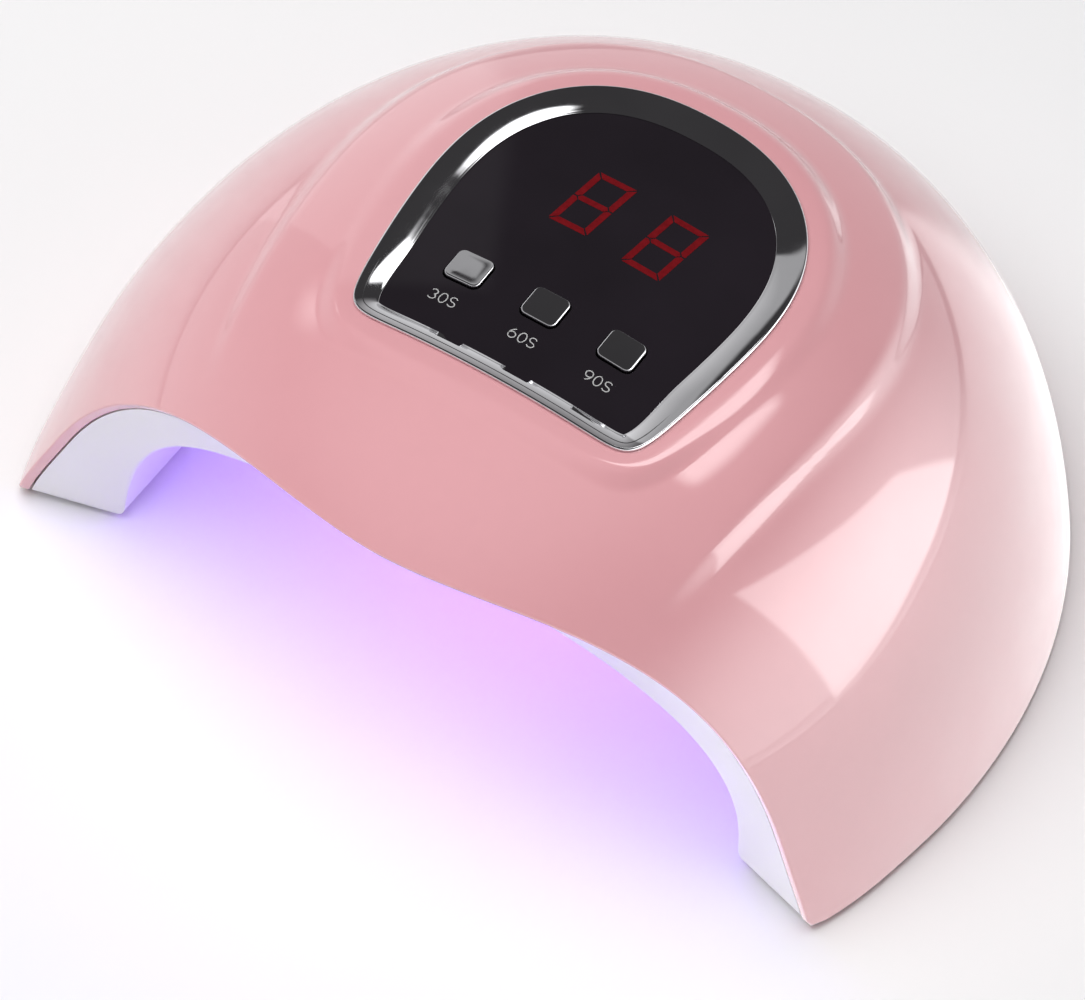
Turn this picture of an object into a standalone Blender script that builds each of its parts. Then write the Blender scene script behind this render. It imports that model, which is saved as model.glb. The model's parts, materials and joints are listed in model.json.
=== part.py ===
"""UV LED nail lamp: a domed shell over a white liner that leaves an open hand cavity.

Lengths below are in millimetres and become metres in make_object and the helpers.
The front, where the hand enters, faces -Y, +X is to the right and +Z is up. The origin
is the middle of the footprint, on the surface that the rubber feet stand on.
"""

import math

import bmesh
import bpy
import numpy as np
from mathutils import Matrix, Vector

MM = 0.001
GAP = 0.3

# outer shell: a superellipsoid whose centre lies below the ground
SHELL_HALF_WIDTH = 105.06
SHELL_FRONT_REACH = 111.28
SHELL_BACK_REACH = 120.52
SHELL_MIDDLE_Y = -22.58
SHELL_CENTRE_Z = -46.75
SHELL_RISE = 138.40
PLAN_POWER = 2.073
RISE_POWER = 2.515
SHELL_THICKNESS = 2.2
RIM_Z = 1.5
RIM_CORNER = 2.5

# the two feet of the entrance flare out a little
FLARE = 0.018
FLARE_HEIGHT = 26.0
FLARE_Y = (-40.0, -75.0)
FLARE_REACH = 2.8

# the entrance is cut by a curved face: y = LIP_Y + slope + sweep + lean
LIP_Y = -127.99
LIP_SLOPE = 0.174
LIP_SWEEP = 73.26
LIP_LEAN = 29.77
LIP_LEAN_HEIGHT = 82.0

# control panel outline: round at the back, tapering to a straight front edge. Each shield
# below is (half width, reach to the back, reach to the front, power of the front corners)
SHIELD_Y = -16.0
SHIELD_BACK_POWER = 2.35
SHIELD_TAPER = 0.136
SHIELD_TAPER_POWER = 1.55
BEZEL_SHIELD = (38.0, 41.0, 41.6, 14.0)
BEZEL_TOP_Z = 91.8
BEZEL_TOP_Y = -15.0
BEZEL_ARCH_X = 400.0
BEZEL_ARCH_Y = 800.0
PLATEAU_DROP = 0.9
HOLE_INSET = 1.2

# raised plateau round the bezel and the wider ridge round that
PLATEAU_SHIELD = (41.5, 45.5, 45.0, 8.0)
RIDGE_SHIELD = (56.5, 61.0, 70.0, 8.0)
PLATEAU_STEP = 5.0
RIDGE_STEP = 4.5
RIDGE_SHARE = 0.30
RIDGE_FADE = (-40.0, -80.0)

# inner liner: a tunnel with a rounded back end
LINER_HALF_WIDTH = 72.5
LINER_HEIGHT = 61.0
LINER_Y = -30.0
LINER_BACK_REACH = 104.0
LINER_POWER = 2.2
LINER_THICKNESS = 1.8
LINER_FLOOR_Z = 2.0
MOUTH_FOOT_Y = -65.5
MOUTH_LEAN = 0.0042
LIP_RECESS = 1.0
LINER_CLEARANCE = 1.2

# mesh columns round the shell and rings from the panel opening to the rim
LIP_COLUMNS = 13
GROUND_COLUMNS = 15
SHELL_RINGS = 14
LINER_RINGS = 8
BEZEL_COLUMNS = 56
PANEL_COLUMNS = 48
RING_SPREAD = 1.1
SHELL_ORIGIN = (0.0, -10.0)
CAVITY_ORIGIN_Y = -22.0
FAR_AWAY = 260.0

# chrome ring as (inset, drop) pairs: rim, slanted inner wall, then a skirt into the shell
BEZEL_PROFILE = ((0.0, 0.6), (0.0, 0.3), (0.4, 0.0), (1.2, 0.0), (4.7, 1.9),
                 (4.7, 2.2), (3.1, 2.2), (3.1, 5.0), (2.0, 5.0), (2.0, 0.6))

# panel, buttons and board stack
PANEL_DEPTH = 2.5
PANEL_INSET = 3.4
PANEL_THICKNESS = 1.5
BUTTON_SPACING = 17.5
BUTTON_Y = -36.3
DISPLAY_PLACE = (2.0, -8.6)
BUTTON_NAMES = ("30s", "60s", "90s")
CAP_SIZE = (8.0, 7.5)
CAP_PROUD = 0.9
CAP_CORNER = 1.4
CAP_CHAMFER = 0.6
CAP_FLANGE = 0.7
CAP_FLANGE_THICKNESS = 1.0
STEM_WIDTH = 2.0
STEM_BOTTOM = 81.4
SWITCH_WIDTH = 6.2
SWITCH_HEIGHT = 3.5
SWITCH_BORE_RADIUS = 1.95
PLUNGER_RADIUS = 1.6
PLUNGER_TOP = 81.1
PANEL_RINGS = (1.0, 0.72, 0.42, 0.16)
BOARD_TOP = 76.0
BOARD_THICKNESS = 1.6
BOARD_SIZE = (90.0, 72.0)
BOARD_Y = -14.0
POST_X = 41.0
POST_Y = (-39.0, 4.0)
POST_RADIUS = 2.6
POST_PILOT_RADIUS = 1.3
POST_PILOT_DEPTH = 3.2
BOARD_HOLE_RADIUS = 1.6
BOARD_SCREW_HEAD = 2.6

# LED strips: arches over the liner
STRIP_STATIONS = (("front", -48.0), ("middle", -8.0), ("rear", 30.0))
STRIP_HALF_WIDTH = 6.0
STRIP_THICKNESS = 1.2
STRIP_OFFSET = LINER_THICKNESS + 0.8
STRIP_SPREAD = (13.0, 167.0)
BEAD_ANGLES = (20.0, 47.0, 76.0, 104.0, 133.0, 160.0)
BEAD_RADIUS = 3.2
BEAD_HOLE_RADIUS = 3.7

# fixings and the power inlet
FOOT_RADIUS = 5.0
SCREW_RADIUS = 1.3
SCREW_HEAD_RADIUS = 2.7
SCREW_HOLE_RADIUS = 1.7
BOSS_RADIUS = 3.6
BOSS_BORE_RADIUS = 1.6
BOSS_BORE_TOP = 22.0
FIXING_STEPS = (3, 10)
FOOT_STEPS = (1, 12)
INLET_Z = 14.0
INLET_RADIUS = 5.2
INLET_MOUTH_RADIUS = 3.1
INLET_PIN_RADIUS = 1.0
INLET_CLEARANCE = 0.5

# hand sensor above the entrance
SENSOR_Y = -74.0
SENSOR_RADIUS = 2.5
SENSOR_CLEARANCE = 0.4

# wire radii
POWER_WIRE = 1.3
LED_WIRE = 0.8
SENSOR_WIRE = 0.7


def clear_scene():
    for obj in list(bpy.data.objects):
        bpy.data.objects.remove(obj)


# ---------------------------------------------------------------- materials

def make_material(name, colour, roughness, metallic=0.0):
    material = bpy.data.materials.new(name)
    material.use_nodes = True
    shader = material.node_tree.nodes["Principled BSDF"]
    shader.inputs["Base Color"].default_value = (*colour, 1.0)
    shader.inputs["Roughness"].default_value = roughness
    shader.inputs["Metallic"].default_value = metallic
    return material


# ---------------------------------------------------------------- formulas

def smooth_step(value, start, end):
    t = np.clip((value - start) / (end - start), 0.0, 1.0)
    return t * t * (3.0 - 2.0 * t)


def plan_radius(x, y):
    """1 on the shell's widest outline, seen from above."""
    reach = np.where(y < SHELL_MIDDLE_Y, SHELL_FRONT_REACH, SHELL_BACK_REACH)
    across = (np.abs(x) / SHELL_HALF_WIDTH) ** PLAN_POWER
    along = (np.abs(y - SHELL_MIDDLE_Y) / reach) ** PLAN_POWER
    return (across + along) ** (1.0 / PLAN_POWER)


def dome_top(x, y):
    inside = np.clip(1.0 - plan_radius(x, y) ** RISE_POWER, 0.0, 1.0)
    return SHELL_CENTRE_Z + SHELL_RISE * inside ** (1.0 / RISE_POWER)


def bezel_top(x, y):
    return BEZEL_TOP_Z - x * x / BEZEL_ARCH_X - (y - BEZEL_TOP_Y) ** 2 / BEZEL_ARCH_Y


def shield_gauge(x, y, half, back, front, corner):
    """1 on a shield outline, less inside it."""
    along = y - SHIELD_Y
    depth = np.clip(-along / front, 0.0, 1.0)
    narrowed = np.abs(x) / (1.0 - SHIELD_TAPER * depth ** SHIELD_TAPER_POWER)
    power = np.where(along > 0.0, SHIELD_BACK_POWER, corner)
    reach = np.where(along > 0.0, back, front)
    return ((narrowed / half) ** power + (np.abs(along) / reach) ** power) ** (1.0 / power)


def outside_shield(x, y, shield):
    gauge = np.maximum(shield_gauge(x, y, *shield), 0.01)
    return np.hypot(x, y - SHIELD_Y) * (1.0 - 1.0 / gauge)


def lift(x, y):
    """How far the plateau and the ridge stand above the plain dome."""
    rise = bezel_top(x, y) - PLATEAU_DROP - dome_top(x, y)
    plateau = 1.0 - smooth_step(outside_shield(x, y, PLATEAU_SHIELD), 0.0, PLATEAU_STEP)
    ridge = 1.0 - smooth_step(outside_shield(x, y, RIDGE_SHIELD), 0.0, RIDGE_STEP)
    fade = 1.0 - smooth_step(-y, -RIDGE_FADE[0], -RIDGE_FADE[1])
    return rise * (plateau + (1.0 - plateau) * RIDGE_SHARE * ridge * fade)


def flare(y, z):
    """1 at the feet of the entrance, fading upwards and towards the back."""
    low = 1.0 - smooth_step(z, RIM_Z, RIM_Z + FLARE_HEIGHT)
    return low * smooth_step(-y, -FLARE_Y[0], -FLARE_Y[1])


def shell_level(points):
    """Below 0 inside the shell's outer surface."""
    x, y, z = points[..., 0], points[..., 1], points[..., 2]
    up = np.abs(z - lift(x, y) - SHELL_CENTRE_Z) / SHELL_RISE
    radius = plan_radius(x, y) / (1.0 + FLARE * flare(y, z))
    return radius ** RISE_POWER + up ** RISE_POWER - 1.0


def liner_level(points):
    """Below 0 inside the hand cavity."""
    x, y, z = points[..., 0], points[..., 1], points[..., 2]
    along = np.clip(y - LINER_Y, 0.0, None) / LINER_BACK_REACH
    across = np.abs(x) / LINER_HALF_WIDTH
    up = np.abs(z) / LINER_HEIGHT
    return across ** LINER_POWER + along ** LINER_POWER + up ** LINER_POWER - 1.0


def march(level, origin, directions):
    """Where rays from a point inside reach the surface."""
    low = np.zeros(directions.shape[:-1])
    high = np.full(directions.shape[:-1], FAR_AWAY)
    for _ in range(40):
        middle = 0.5 * (low + high)
        inside = level(origin + directions * middle[..., None]) < 0.0
        low = np.where(inside, middle, low)
        high = np.where(inside, high, middle)
    return origin + directions * low[..., None]


def normals_of(level, points):
    steps = np.eye(3) * 0.02
    slopes = [level(points + step) - level(points - step) for step in steps]
    gradient = np.stack(slopes, axis=-1)
    return gradient / np.linalg.norm(gradient, axis=-1, keepdims=True)


def resample(points, count, closed=False):
    """Points at even arc length along a polyline."""
    path = np.vstack([points, points[:1]]) if closed else points
    lengths = np.linalg.norm(np.diff(path, axis=0), axis=1)
    distance = np.concatenate([[0.0], np.cumsum(lengths)])
    stations = np.linspace(0.0, distance[-1], count + 1 if closed else count)
    stations = stations[:-1] if closed else stations
    return np.stack([np.interp(stations, distance, axis) for axis in path.T], axis=1)


def shield_outline(shield, inset=0.0, count=800):
    """Closed outline from the front centre towards +X, moved inwards by inset."""
    angle = np.radians(np.linspace(-90.0, 270.0, count, endpoint=False))
    ray = np.stack([np.cos(angle), np.sin(angle)], axis=1)
    low = np.zeros(count)
    high = np.full(count, 140.0)
    for _ in range(40):
        middle = 0.5 * (low + high)
        x, y = ray[:, 0] * middle, SHIELD_Y + ray[:, 1] * middle
        inside = shield_gauge(x, y, *shield) < 1.0
        low = np.where(inside, middle, low)
        high = np.where(inside, high, middle)
    outline = ray * low[:, None] + np.array([0.0, SHIELD_Y])
    tangent = np.roll(outline, -1, axis=0) - np.roll(outline, 1, axis=0)
    tangent /= np.linalg.norm(tangent, axis=1, keepdims=True)
    inward = np.stack([-tangent[:, 1], tangent[:, 0]], axis=1)
    return outline + inward * inset


def bezel_outline(inset, count):
    fine = shield_outline(BEZEL_SHIELD, inset)
    return resample(fine, count, closed=True)


def lip_face(x, z):
    height = z - RIM_Z
    sweep = LIP_SWEEP * (x / SHELL_HALF_WIDTH) ** 2
    lean = LIP_LEAN * (height / LIP_LEAN_HEIGHT) ** 2
    face = LIP_Y + LIP_SLOPE * height + sweep + lean
    return face - FLARE_REACH * flare(face, z)


def lip_curve(count=200):
    """Right half of the entrance edge, from its top centre down to the right foot."""
    angle = np.radians(np.linspace(90.0, 0.0, count))
    low = np.full(count, 20.0)
    high = np.full(count, 125.0)
    for _ in range(40):
        middle = 0.5 * (low + high)
        x, z = np.cos(angle) * middle, RIM_Z + np.sin(angle) * middle
        inside = shell_level(np.stack([x, lip_face(x, z), z], axis=-1)) < 0.0
        low = np.where(inside, middle, low)
        high = np.where(inside, high, middle)
    x, z = np.cos(angle) * low, RIM_Z + np.sin(angle) * low
    return np.stack([x, lip_face(x, z), z], axis=1)


def ground_curve(foot, count=200):
    """Right half of the rim on the ground, from the right foot to the back centre."""
    start = math.atan2(foot[1] - SHELL_MIDDLE_Y, foot[0])
    angle = np.linspace(start, math.pi / 2.0, count)
    rays = np.stack([np.cos(angle), np.sin(angle), np.zeros(count)], axis=1)
    return march(shell_level, np.array([0.0, SHELL_MIDDLE_Y, RIM_Z]), rays)


def round_corner(lip, ground):
    """Shorten both curves at the foot and join them with a small arc."""
    lip_cut = resample(lip, 400)
    ground_cut = resample(ground, 400)
    keep_lip = np.linalg.norm(lip_cut - lip[-1], axis=1) > RIM_CORNER
    keep_ground = np.linalg.norm(ground_cut - lip[-1], axis=1) > RIM_CORNER
    start = lip_cut[keep_lip][-1]
    end = ground_cut[keep_ground][0]
    t = np.linspace(0.0, 1.0, 9)[1:-1, None]
    arc = (1 - t) ** 2 * start + 2 * t * (1 - t) * lip[-1] + t ** 2 * end
    corner = len(arc) // 2
    lip_part = np.vstack([lip_cut[keep_lip], arc[:corner + 1]])
    return lip_part, np.vstack([arc[corner:], ground_cut[keep_ground]])


def mirrored_loop(half):
    """A closed loop from its right half, which starts and ends on the middle plane."""
    left = half[1:-1][::-1] * np.array([-1.0, 1.0, 1.0])
    return np.vstack([half, left])


def rim_loop():
    lip = lip_curve()
    lip_part, ground_part = round_corner(lip, ground_curve(lip[-1]))
    half = np.vstack([
        resample(lip_part, LIP_COLUMNS + 1),
        resample(ground_part, GROUND_COLUMNS + 1)[1:],
    ])
    return mirrored_loop(half)


def swing(origin, start, end, share):
    """Directions that turn from start to end as share goes from 0 to 1."""
    a = (start - origin) / np.linalg.norm(start - origin, axis=-1, keepdims=True)
    b = (end - origin) / np.linalg.norm(end - origin, axis=-1, keepdims=True)
    angle = np.arccos(np.clip(np.sum(a * b, axis=-1), -1.0, 1.0))[..., None]
    return (np.sin((1.0 - share) * angle) * a + np.sin(share * angle) * b) / np.sin(angle)


# ---------------------------------------------------------------- mesh helpers

def make_object(name, vertices, faces, material, at=(0.0, 0.0, 0.0), smooth_angle=40.0):
    """Vertices are world millimetres; the object's origin goes to at."""
    mesh = bpy.data.meshes.new(name)
    local = (np.asarray(vertices, dtype=float) - np.asarray(at)) * MM
    mesh.from_pydata([tuple(v) for v in local], [], faces)
    build = bmesh.new()
    build.from_mesh(mesh)
    bmesh.ops.recalc_face_normals(build, faces=build.faces)
    build.to_mesh(mesh)
    build.free()
    mesh.shade_smooth()
    mesh.set_sharp_from_angle(angle=math.radians(smooth_angle))
    obj = bpy.data.objects.new(name, mesh)
    obj.location = Vector(at) * MM
    bpy.context.collection.objects.link(obj)
    if material:
        obj.data.materials.append(material)
    return obj


def ring_faces(rings, around, closed_ends=True):
    faces = []
    for ring in range(rings - 1):
        for step in range(around):
            a = ring * around + step
            b = ring * around + (step + 1) % around
            faces.append((a, b, b + around, a + around))
    if closed_ends:
        faces.append(tuple(range(around)))
        faces.append(tuple(reversed(range((rings - 1) * around, rings * around))))
    return faces


def turned(name, profile, material, centre=(0.0, 0.0, 0.0), axis=(0.0, 0.0, 1.0), sides=16,
           at=None):
    """A closed turned piece; profile is (radius, height) from its bottom to its top."""
    turn = Vector((0.0, 0.0, 1.0)).rotation_difference(Vector(axis)).to_matrix()
    vertices = []
    for radius, height in profile:
        for step in range(sides):
            angle = 2.0 * math.pi * (step + 0.5) / sides
            point = Vector((radius * math.cos(angle), radius * math.sin(angle), height))
            vertices.append(tuple(turn @ point + Vector(centre)))
    where = centre if at is None else at
    return make_object(name, vertices, ring_faces(len(profile), sides), material, where)


def straight(radius, bottom, top):
    return [(radius, bottom), (radius, top)]


def superellipse_size(angle):
    """Distance of the liner's unit outline from its middle at an angle."""
    across = math.cos(angle) ** LINER_POWER
    along = math.sin(angle) ** LINER_POWER
    return (across + along) ** (-1.0 / LINER_POWER)


def rounded_rectangle(width, depth, corner, steps=3):
    points = []
    for quarter, (sx, sy) in enumerate(((1, 1), (-1, 1), (-1, -1), (1, -1))):
        for step in range(steps + 1):
            angle = math.radians(90.0 * (quarter + step / steps))
            points.append((sx * (width / 2 - corner) + corner * math.cos(angle),
                           sy * (depth / 2 - corner) + corner * math.sin(angle)))
    return points


def block(name, width, depth, bottom, top, material, centre=(0.0, 0.0), corner=0.4, at=None):
    """A vertical rounded block between two heights."""
    outline = rounded_rectangle(width, depth, corner)
    vertices = [(x + centre[0], y + centre[1], z) for z in (bottom, top) for x, y in outline]
    where = (centre[0], centre[1], bottom) if at is None else at
    return make_object(name, vertices, ring_faces(2, len(outline)), material, where)


def cutter(obj):
    obj.hide_render = True
    obj.display_type = "WIRE"
    return obj


def combine(target, tool, operation):
    modifier = target.modifiers.new(operation.title(), "BOOLEAN")
    modifier.operation = operation
    modifier.object = cutter(tool)
    modifier.solver = "EXACT"


def merge_meshes(name, objects):
    """One object from several separate closed pieces, used as a cutter."""
    build = bmesh.new()
    for obj in objects:
        shifted = obj.data.copy()
        shifted.transform(Matrix.Translation(obj.location))
        build.from_mesh(shifted)
        bpy.data.objects.remove(obj)
    mesh = bpy.data.meshes.new(name)
    build.to_mesh(mesh)
    build.free()
    merged = bpy.data.objects.new(name, mesh)
    bpy.context.collection.objects.link(merged)
    return merged


def sheet(name, rings, material, thickness, cap=False):
    """An open sheet of rings made solid on the side away from its normals."""
    around = rings.shape[1]
    faces = ring_faces(len(rings), around, closed_ends=False)
    if cap:
        faces.append(tuple(range((len(rings) - 1) * around, len(rings) * around)))
    mesh = bpy.data.meshes.new(name)
    mesh.from_pydata([tuple(v) for v in rings.reshape(-1, 3) * MM], [], faces)
    mesh.flip_normals()
    mesh.shade_smooth()
    mesh.set_sharp_from_angle(angle=math.radians(40.0))
    obj = bpy.data.objects.new(name, mesh)
    bpy.context.collection.objects.link(obj)
    obj.data.materials.append(material)
    solid = obj.modifiers.new("Thickness", "SOLIDIFY")
    solid.thickness = thickness * MM
    solid.offset = -1.0
    solid.use_even_offset = True
    return obj


def tube(name, route, radius, material):
    """A wire along a smooth curve through the route's points."""
    knots = np.asarray(route, dtype=float)
    padded = np.vstack([2 * knots[0] - knots[1], knots, 2 * knots[-1] - knots[-2]])
    points = []
    for index in range(len(knots) - 1):
        p0, p1, p2, p3 = padded[index:index + 4]
        for t in np.linspace(0.0, 1.0, 6)[:-1]:
            points.append(0.5 * (2 * p1 + (p2 - p0) * t + (2 * p0 - 5 * p1 + 4 * p2 - p3) * t ** 2
                                 + (3 * p1 - p0 - 3 * p2 + p3) * t ** 3))
    points.append(knots[-1])
    curve = bpy.data.curves.new(name, "CURVE")
    curve.dimensions = "3D"
    curve.bevel_depth = radius * MM
    curve.bevel_resolution = 1
    curve.use_fill_caps = True
    spline = curve.splines.new("POLY")
    spline.points.add(len(points) - 1)
    for point, place in zip(spline.points, points):
        point.co = (*(place * MM), 1.0)
    obj = bpy.data.objects.new(name, curve)
    bpy.context.collection.objects.link(obj)
    obj.data.materials.append(material)
    return obj


# ---------------------------------------------------------------- shell and liner

def shell_rings(rim):
    """Rings from the panel opening out to the rim, on the shell's outer surface."""
    origin = np.array([*SHELL_ORIGIN, RIM_Z])
    hole = bezel_outline(HOLE_INSET, len(rim))
    hole_top = bezel_top(hole[:, 0], hole[:, 1]) - PLATEAU_DROP
    inner = np.column_stack([hole, hole_top])
    shares = np.linspace(0.0, 1.0, SHELL_RINGS + 1) ** RING_SPREAD
    rings = [march(shell_level, origin, swing(origin, inner, rim, share)) for share in shares]
    rings[-1] = rim
    return np.array(rings)


def make_screw_boss(name, centre):
    """A post that hangs from the shell's inside down to the liner's flange."""
    sides = 12
    bottom = LINER_FLOOR_Z + LINER_THICKNESS + GAP
    vertices = []
    tops = []
    for step in range(sides):
        angle = 2.0 * math.pi * step / sides
        x = centre[0] + BOSS_RADIUS * math.cos(angle)
        y = centre[1] + BOSS_RADIUS * math.sin(angle)
        top = dome_top(x, y)
        point = np.array([[x, y, top]])
        upright = max(abs(float(normals_of(shell_level, point)[0, 2])), 0.1)
        vertices.append((x, y, bottom))
        tops.append((x, y, float(top) - 0.5 * SHELL_THICKNESS / upright))
    return make_object(name, vertices + tops, ring_faces(2, sides), None)


def rim_middle(rim, floor, index):
    """Middle of the liner's bottom flange at a column."""
    middle = 0.5 * (rim[index] + floor[index])
    return float(middle[0]), float(middle[1])


def around_rim(rim, floor, steps):
    """Places on the flange a few columns behind each foot of the entrance."""
    near, far = (LIP_COLUMNS + step for step in steps)
    count = len(rim)
    return [rim_middle(rim, floor, index) for index in (near, far, count - far, count - near)]


def make_shell(rim, fixings, material):
    shell = sheet("outer_shell", shell_rings(rim), material, SHELL_THICKNESS)
    for index, centre in enumerate(fixings):
        combine(shell, make_screw_boss(f"boss_{index}", centre), "UNION")
    bottom = BOARD_TOP + GAP
    for index, (x, y) in enumerate(board_posts()):
        top = float(dome_top(np.array(x), np.array(y)) + lift(np.array(x), np.array(y)))
        profile = [(POST_RADIUS, bottom), (POST_RADIUS, top - 0.5 * SHELL_THICKNESS)]
        combine(shell, turned(f"post_{index}", profile, None, (x, y, 0.0), sides=10), "UNION")
    bore = straight(BOSS_BORE_RADIUS, 0.0, BOSS_BORE_TOP)
    bores = [turned(f"bore_{i}", bore, None, (*c, 0.0), sides=8) for i, c in enumerate(fixings)]
    pilot = straight(POST_PILOT_RADIUS, bottom - 1.0, bottom + POST_PILOT_DEPTH)
    bores += [turned(f"pilot_{i}", pilot, None, (*place, 0.0), sides=8)
              for i, place in enumerate(board_posts())]
    inlet = straight(INLET_RADIUS + INLET_CLEARANCE, -12.0, 12.0)
    bores.append(turned("inlet_hole", inlet, None, inlet_centre(), (0.0, 1.0, 0.0), 20))
    combine(shell, merge_meshes("shell_cutter", bores), "DIFFERENCE")
    return shell


def liner_floor(rim):
    """Where the cavity wall meets the flange, one point for each column."""
    count = len(rim)
    points = np.zeros((count, 3))
    for index in range(count):
        x, _, z = rim[index]
        column = min(index, count - index)
        if column <= LIP_COLUMNS:
            angle = math.atan2(max(z - RIM_Z, 0.0) / LINER_HEIGHT, abs(x) / LINER_HALF_WIDTH)
            size = superellipse_size(angle)
            height = LINER_HEIGHT * size * math.sin(angle)
            points[index] = (math.copysign(LINER_HALF_WIDTH * size * math.cos(angle), x),
                             MOUTH_FOOT_Y - MOUTH_LEAN * height ** 2, height)
        else:
            share = (column - LIP_COLUMNS) / GROUND_COLUMNS
            points[index] = liner_edge(share, math.copysign(1.0, x))
    points[:, 2] = np.maximum(points[:, 2], LINER_FLOOR_Z)
    return points


def liner_edge(share, side):
    """A point on the cavity's floor outline, from the foot to the back centre."""
    straight = LINER_Y - MOUTH_FOOT_Y
    quarter = 0.5 * math.pi * 0.5 * (LINER_HALF_WIDTH + LINER_BACK_REACH)
    travel = share * (straight + quarter)
    if travel < straight:
        return side * LINER_HALF_WIDTH, MOUTH_FOOT_Y + travel, LINER_FLOOR_Z
    angle = 0.5 * math.pi * (travel - straight) / quarter
    size = superellipse_size(angle)
    return (side * LINER_HALF_WIDTH * size * math.cos(angle),
            LINER_Y + LINER_BACK_REACH * size * math.sin(angle), LINER_FLOOR_Z)


def make_liner(rim, floor, fixings, material):
    """Flange inside the shell's rim, then the cavity wall up to the roof."""
    inward = normals_of(shell_level, rim) * (SHELL_THICKNESS + LINER_CLEARANCE)
    edge = rim - inward
    lip = np.minimum(np.arange(len(rim)), len(rim) - np.arange(len(rim))) <= LIP_COLUMNS
    edge[lip, 1] = rim[lip, 1] + LIP_RECESS + 0.25 * np.abs(inward[lip, 1])
    edge[:, 2] = np.where(lip, np.maximum(edge[:, 2], LINER_FLOOR_Z), LINER_FLOOR_Z)
    origin = np.array([0.0, CAVITY_ORIGIN_Y, 0.0])
    roof = np.array([0.0, CAVITY_ORIGIN_Y, LINER_HEIGHT])
    shares = np.linspace(0.0, 0.9, LINER_RINGS)[1:]
    rings = [edge, 0.5 * (edge + floor), floor]
    for share in shares:
        rings.append(march(liner_level, origin, swing(origin, floor, roof + 0 * floor, share)))
    liner = sheet("inner_liner", np.array(rings), material, LINER_THICKNESS, cap=True)
    holes = []
    through = straight(BEAD_HOLE_RADIUS, -2.0, 4.0)
    for index, (point, normal) in enumerate(bead_places()):
        holes.append(turned(f"bead_hole_{index}", through, None, tuple(point), tuple(normal), 12))
    through = straight(SCREW_HOLE_RADIUS, 0.5, 6.0)
    for index, centre in enumerate(fixings):
        holes.append(turned(f"screw_hole_{index}", through, None, (*centre, 0.0), sides=10))
    through = straight(SENSOR_RADIUS + SENSOR_CLEARANCE, -3.0, 5.0)
    holes.append(turned("sensor_hole", through, None, sensor_place(), sides=12))
    combine(liner, merge_meshes("liner_cutter", holes), "DIFFERENCE")
    return liner


# ---------------------------------------------------------------- panel and buttons

def make_bezel(material):
    """A chrome ring: rim, slanted inner wall and a skirt down into the shell."""
    around = BEZEL_COLUMNS
    rings = []
    for inset, drop in BEZEL_PROFILE:
        outline = bezel_outline(inset, around)
        height = bezel_top(outline[:, 0], outline[:, 1]) - drop
        rings.append(np.column_stack([outline, height]))
    faces = ring_faces(len(rings) + 1, around, closed_ends=False)
    total = len(rings) * around
    faces = [tuple(v % total for v in face) for face in faces]
    return make_object("bezel_ring", np.vstack(rings), faces, material, smooth_angle=25.0)


def make_panel(material):
    around = PANEL_COLUMNS
    outline = bezel_outline(PANEL_INSET, around)
    centre = np.array([0.0, SHIELD_Y])
    top = []
    for share in PANEL_RINGS:
        flat = centre + (outline - centre) * share
        top.append(np.column_stack([flat, bezel_top(flat[:, 0], flat[:, 1]) - PANEL_DEPTH]))
    bottom = [ring - np.array([0.0, 0.0, PANEL_THICKNESS]) for ring in top]
    rings = top[::-1] + bottom
    panel = make_object("display_panel", np.vstack(rings), ring_faces(len(rings), around), material)
    holes = []
    for name, x in zip(BUTTON_NAMES, button_columns()):
        width, depth = (size + 2 * GAP for size in CAP_SIZE)
        place = (x, BUTTON_Y)
        corner = CAP_CORNER + GAP
        holes.append(block(f"cap_hole_{name}", width, depth, BOARD_TOP, BEZEL_TOP_Z, None, place, corner))
    combine(panel, merge_meshes("panel_cutter", holes), "DIFFERENCE")
    return panel


def button_columns():
    return [-BUTTON_SPACING, 0.0, BUTTON_SPACING]


def panel_top(x, y):
    return bezel_top(x, y) - PANEL_DEPTH


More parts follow.
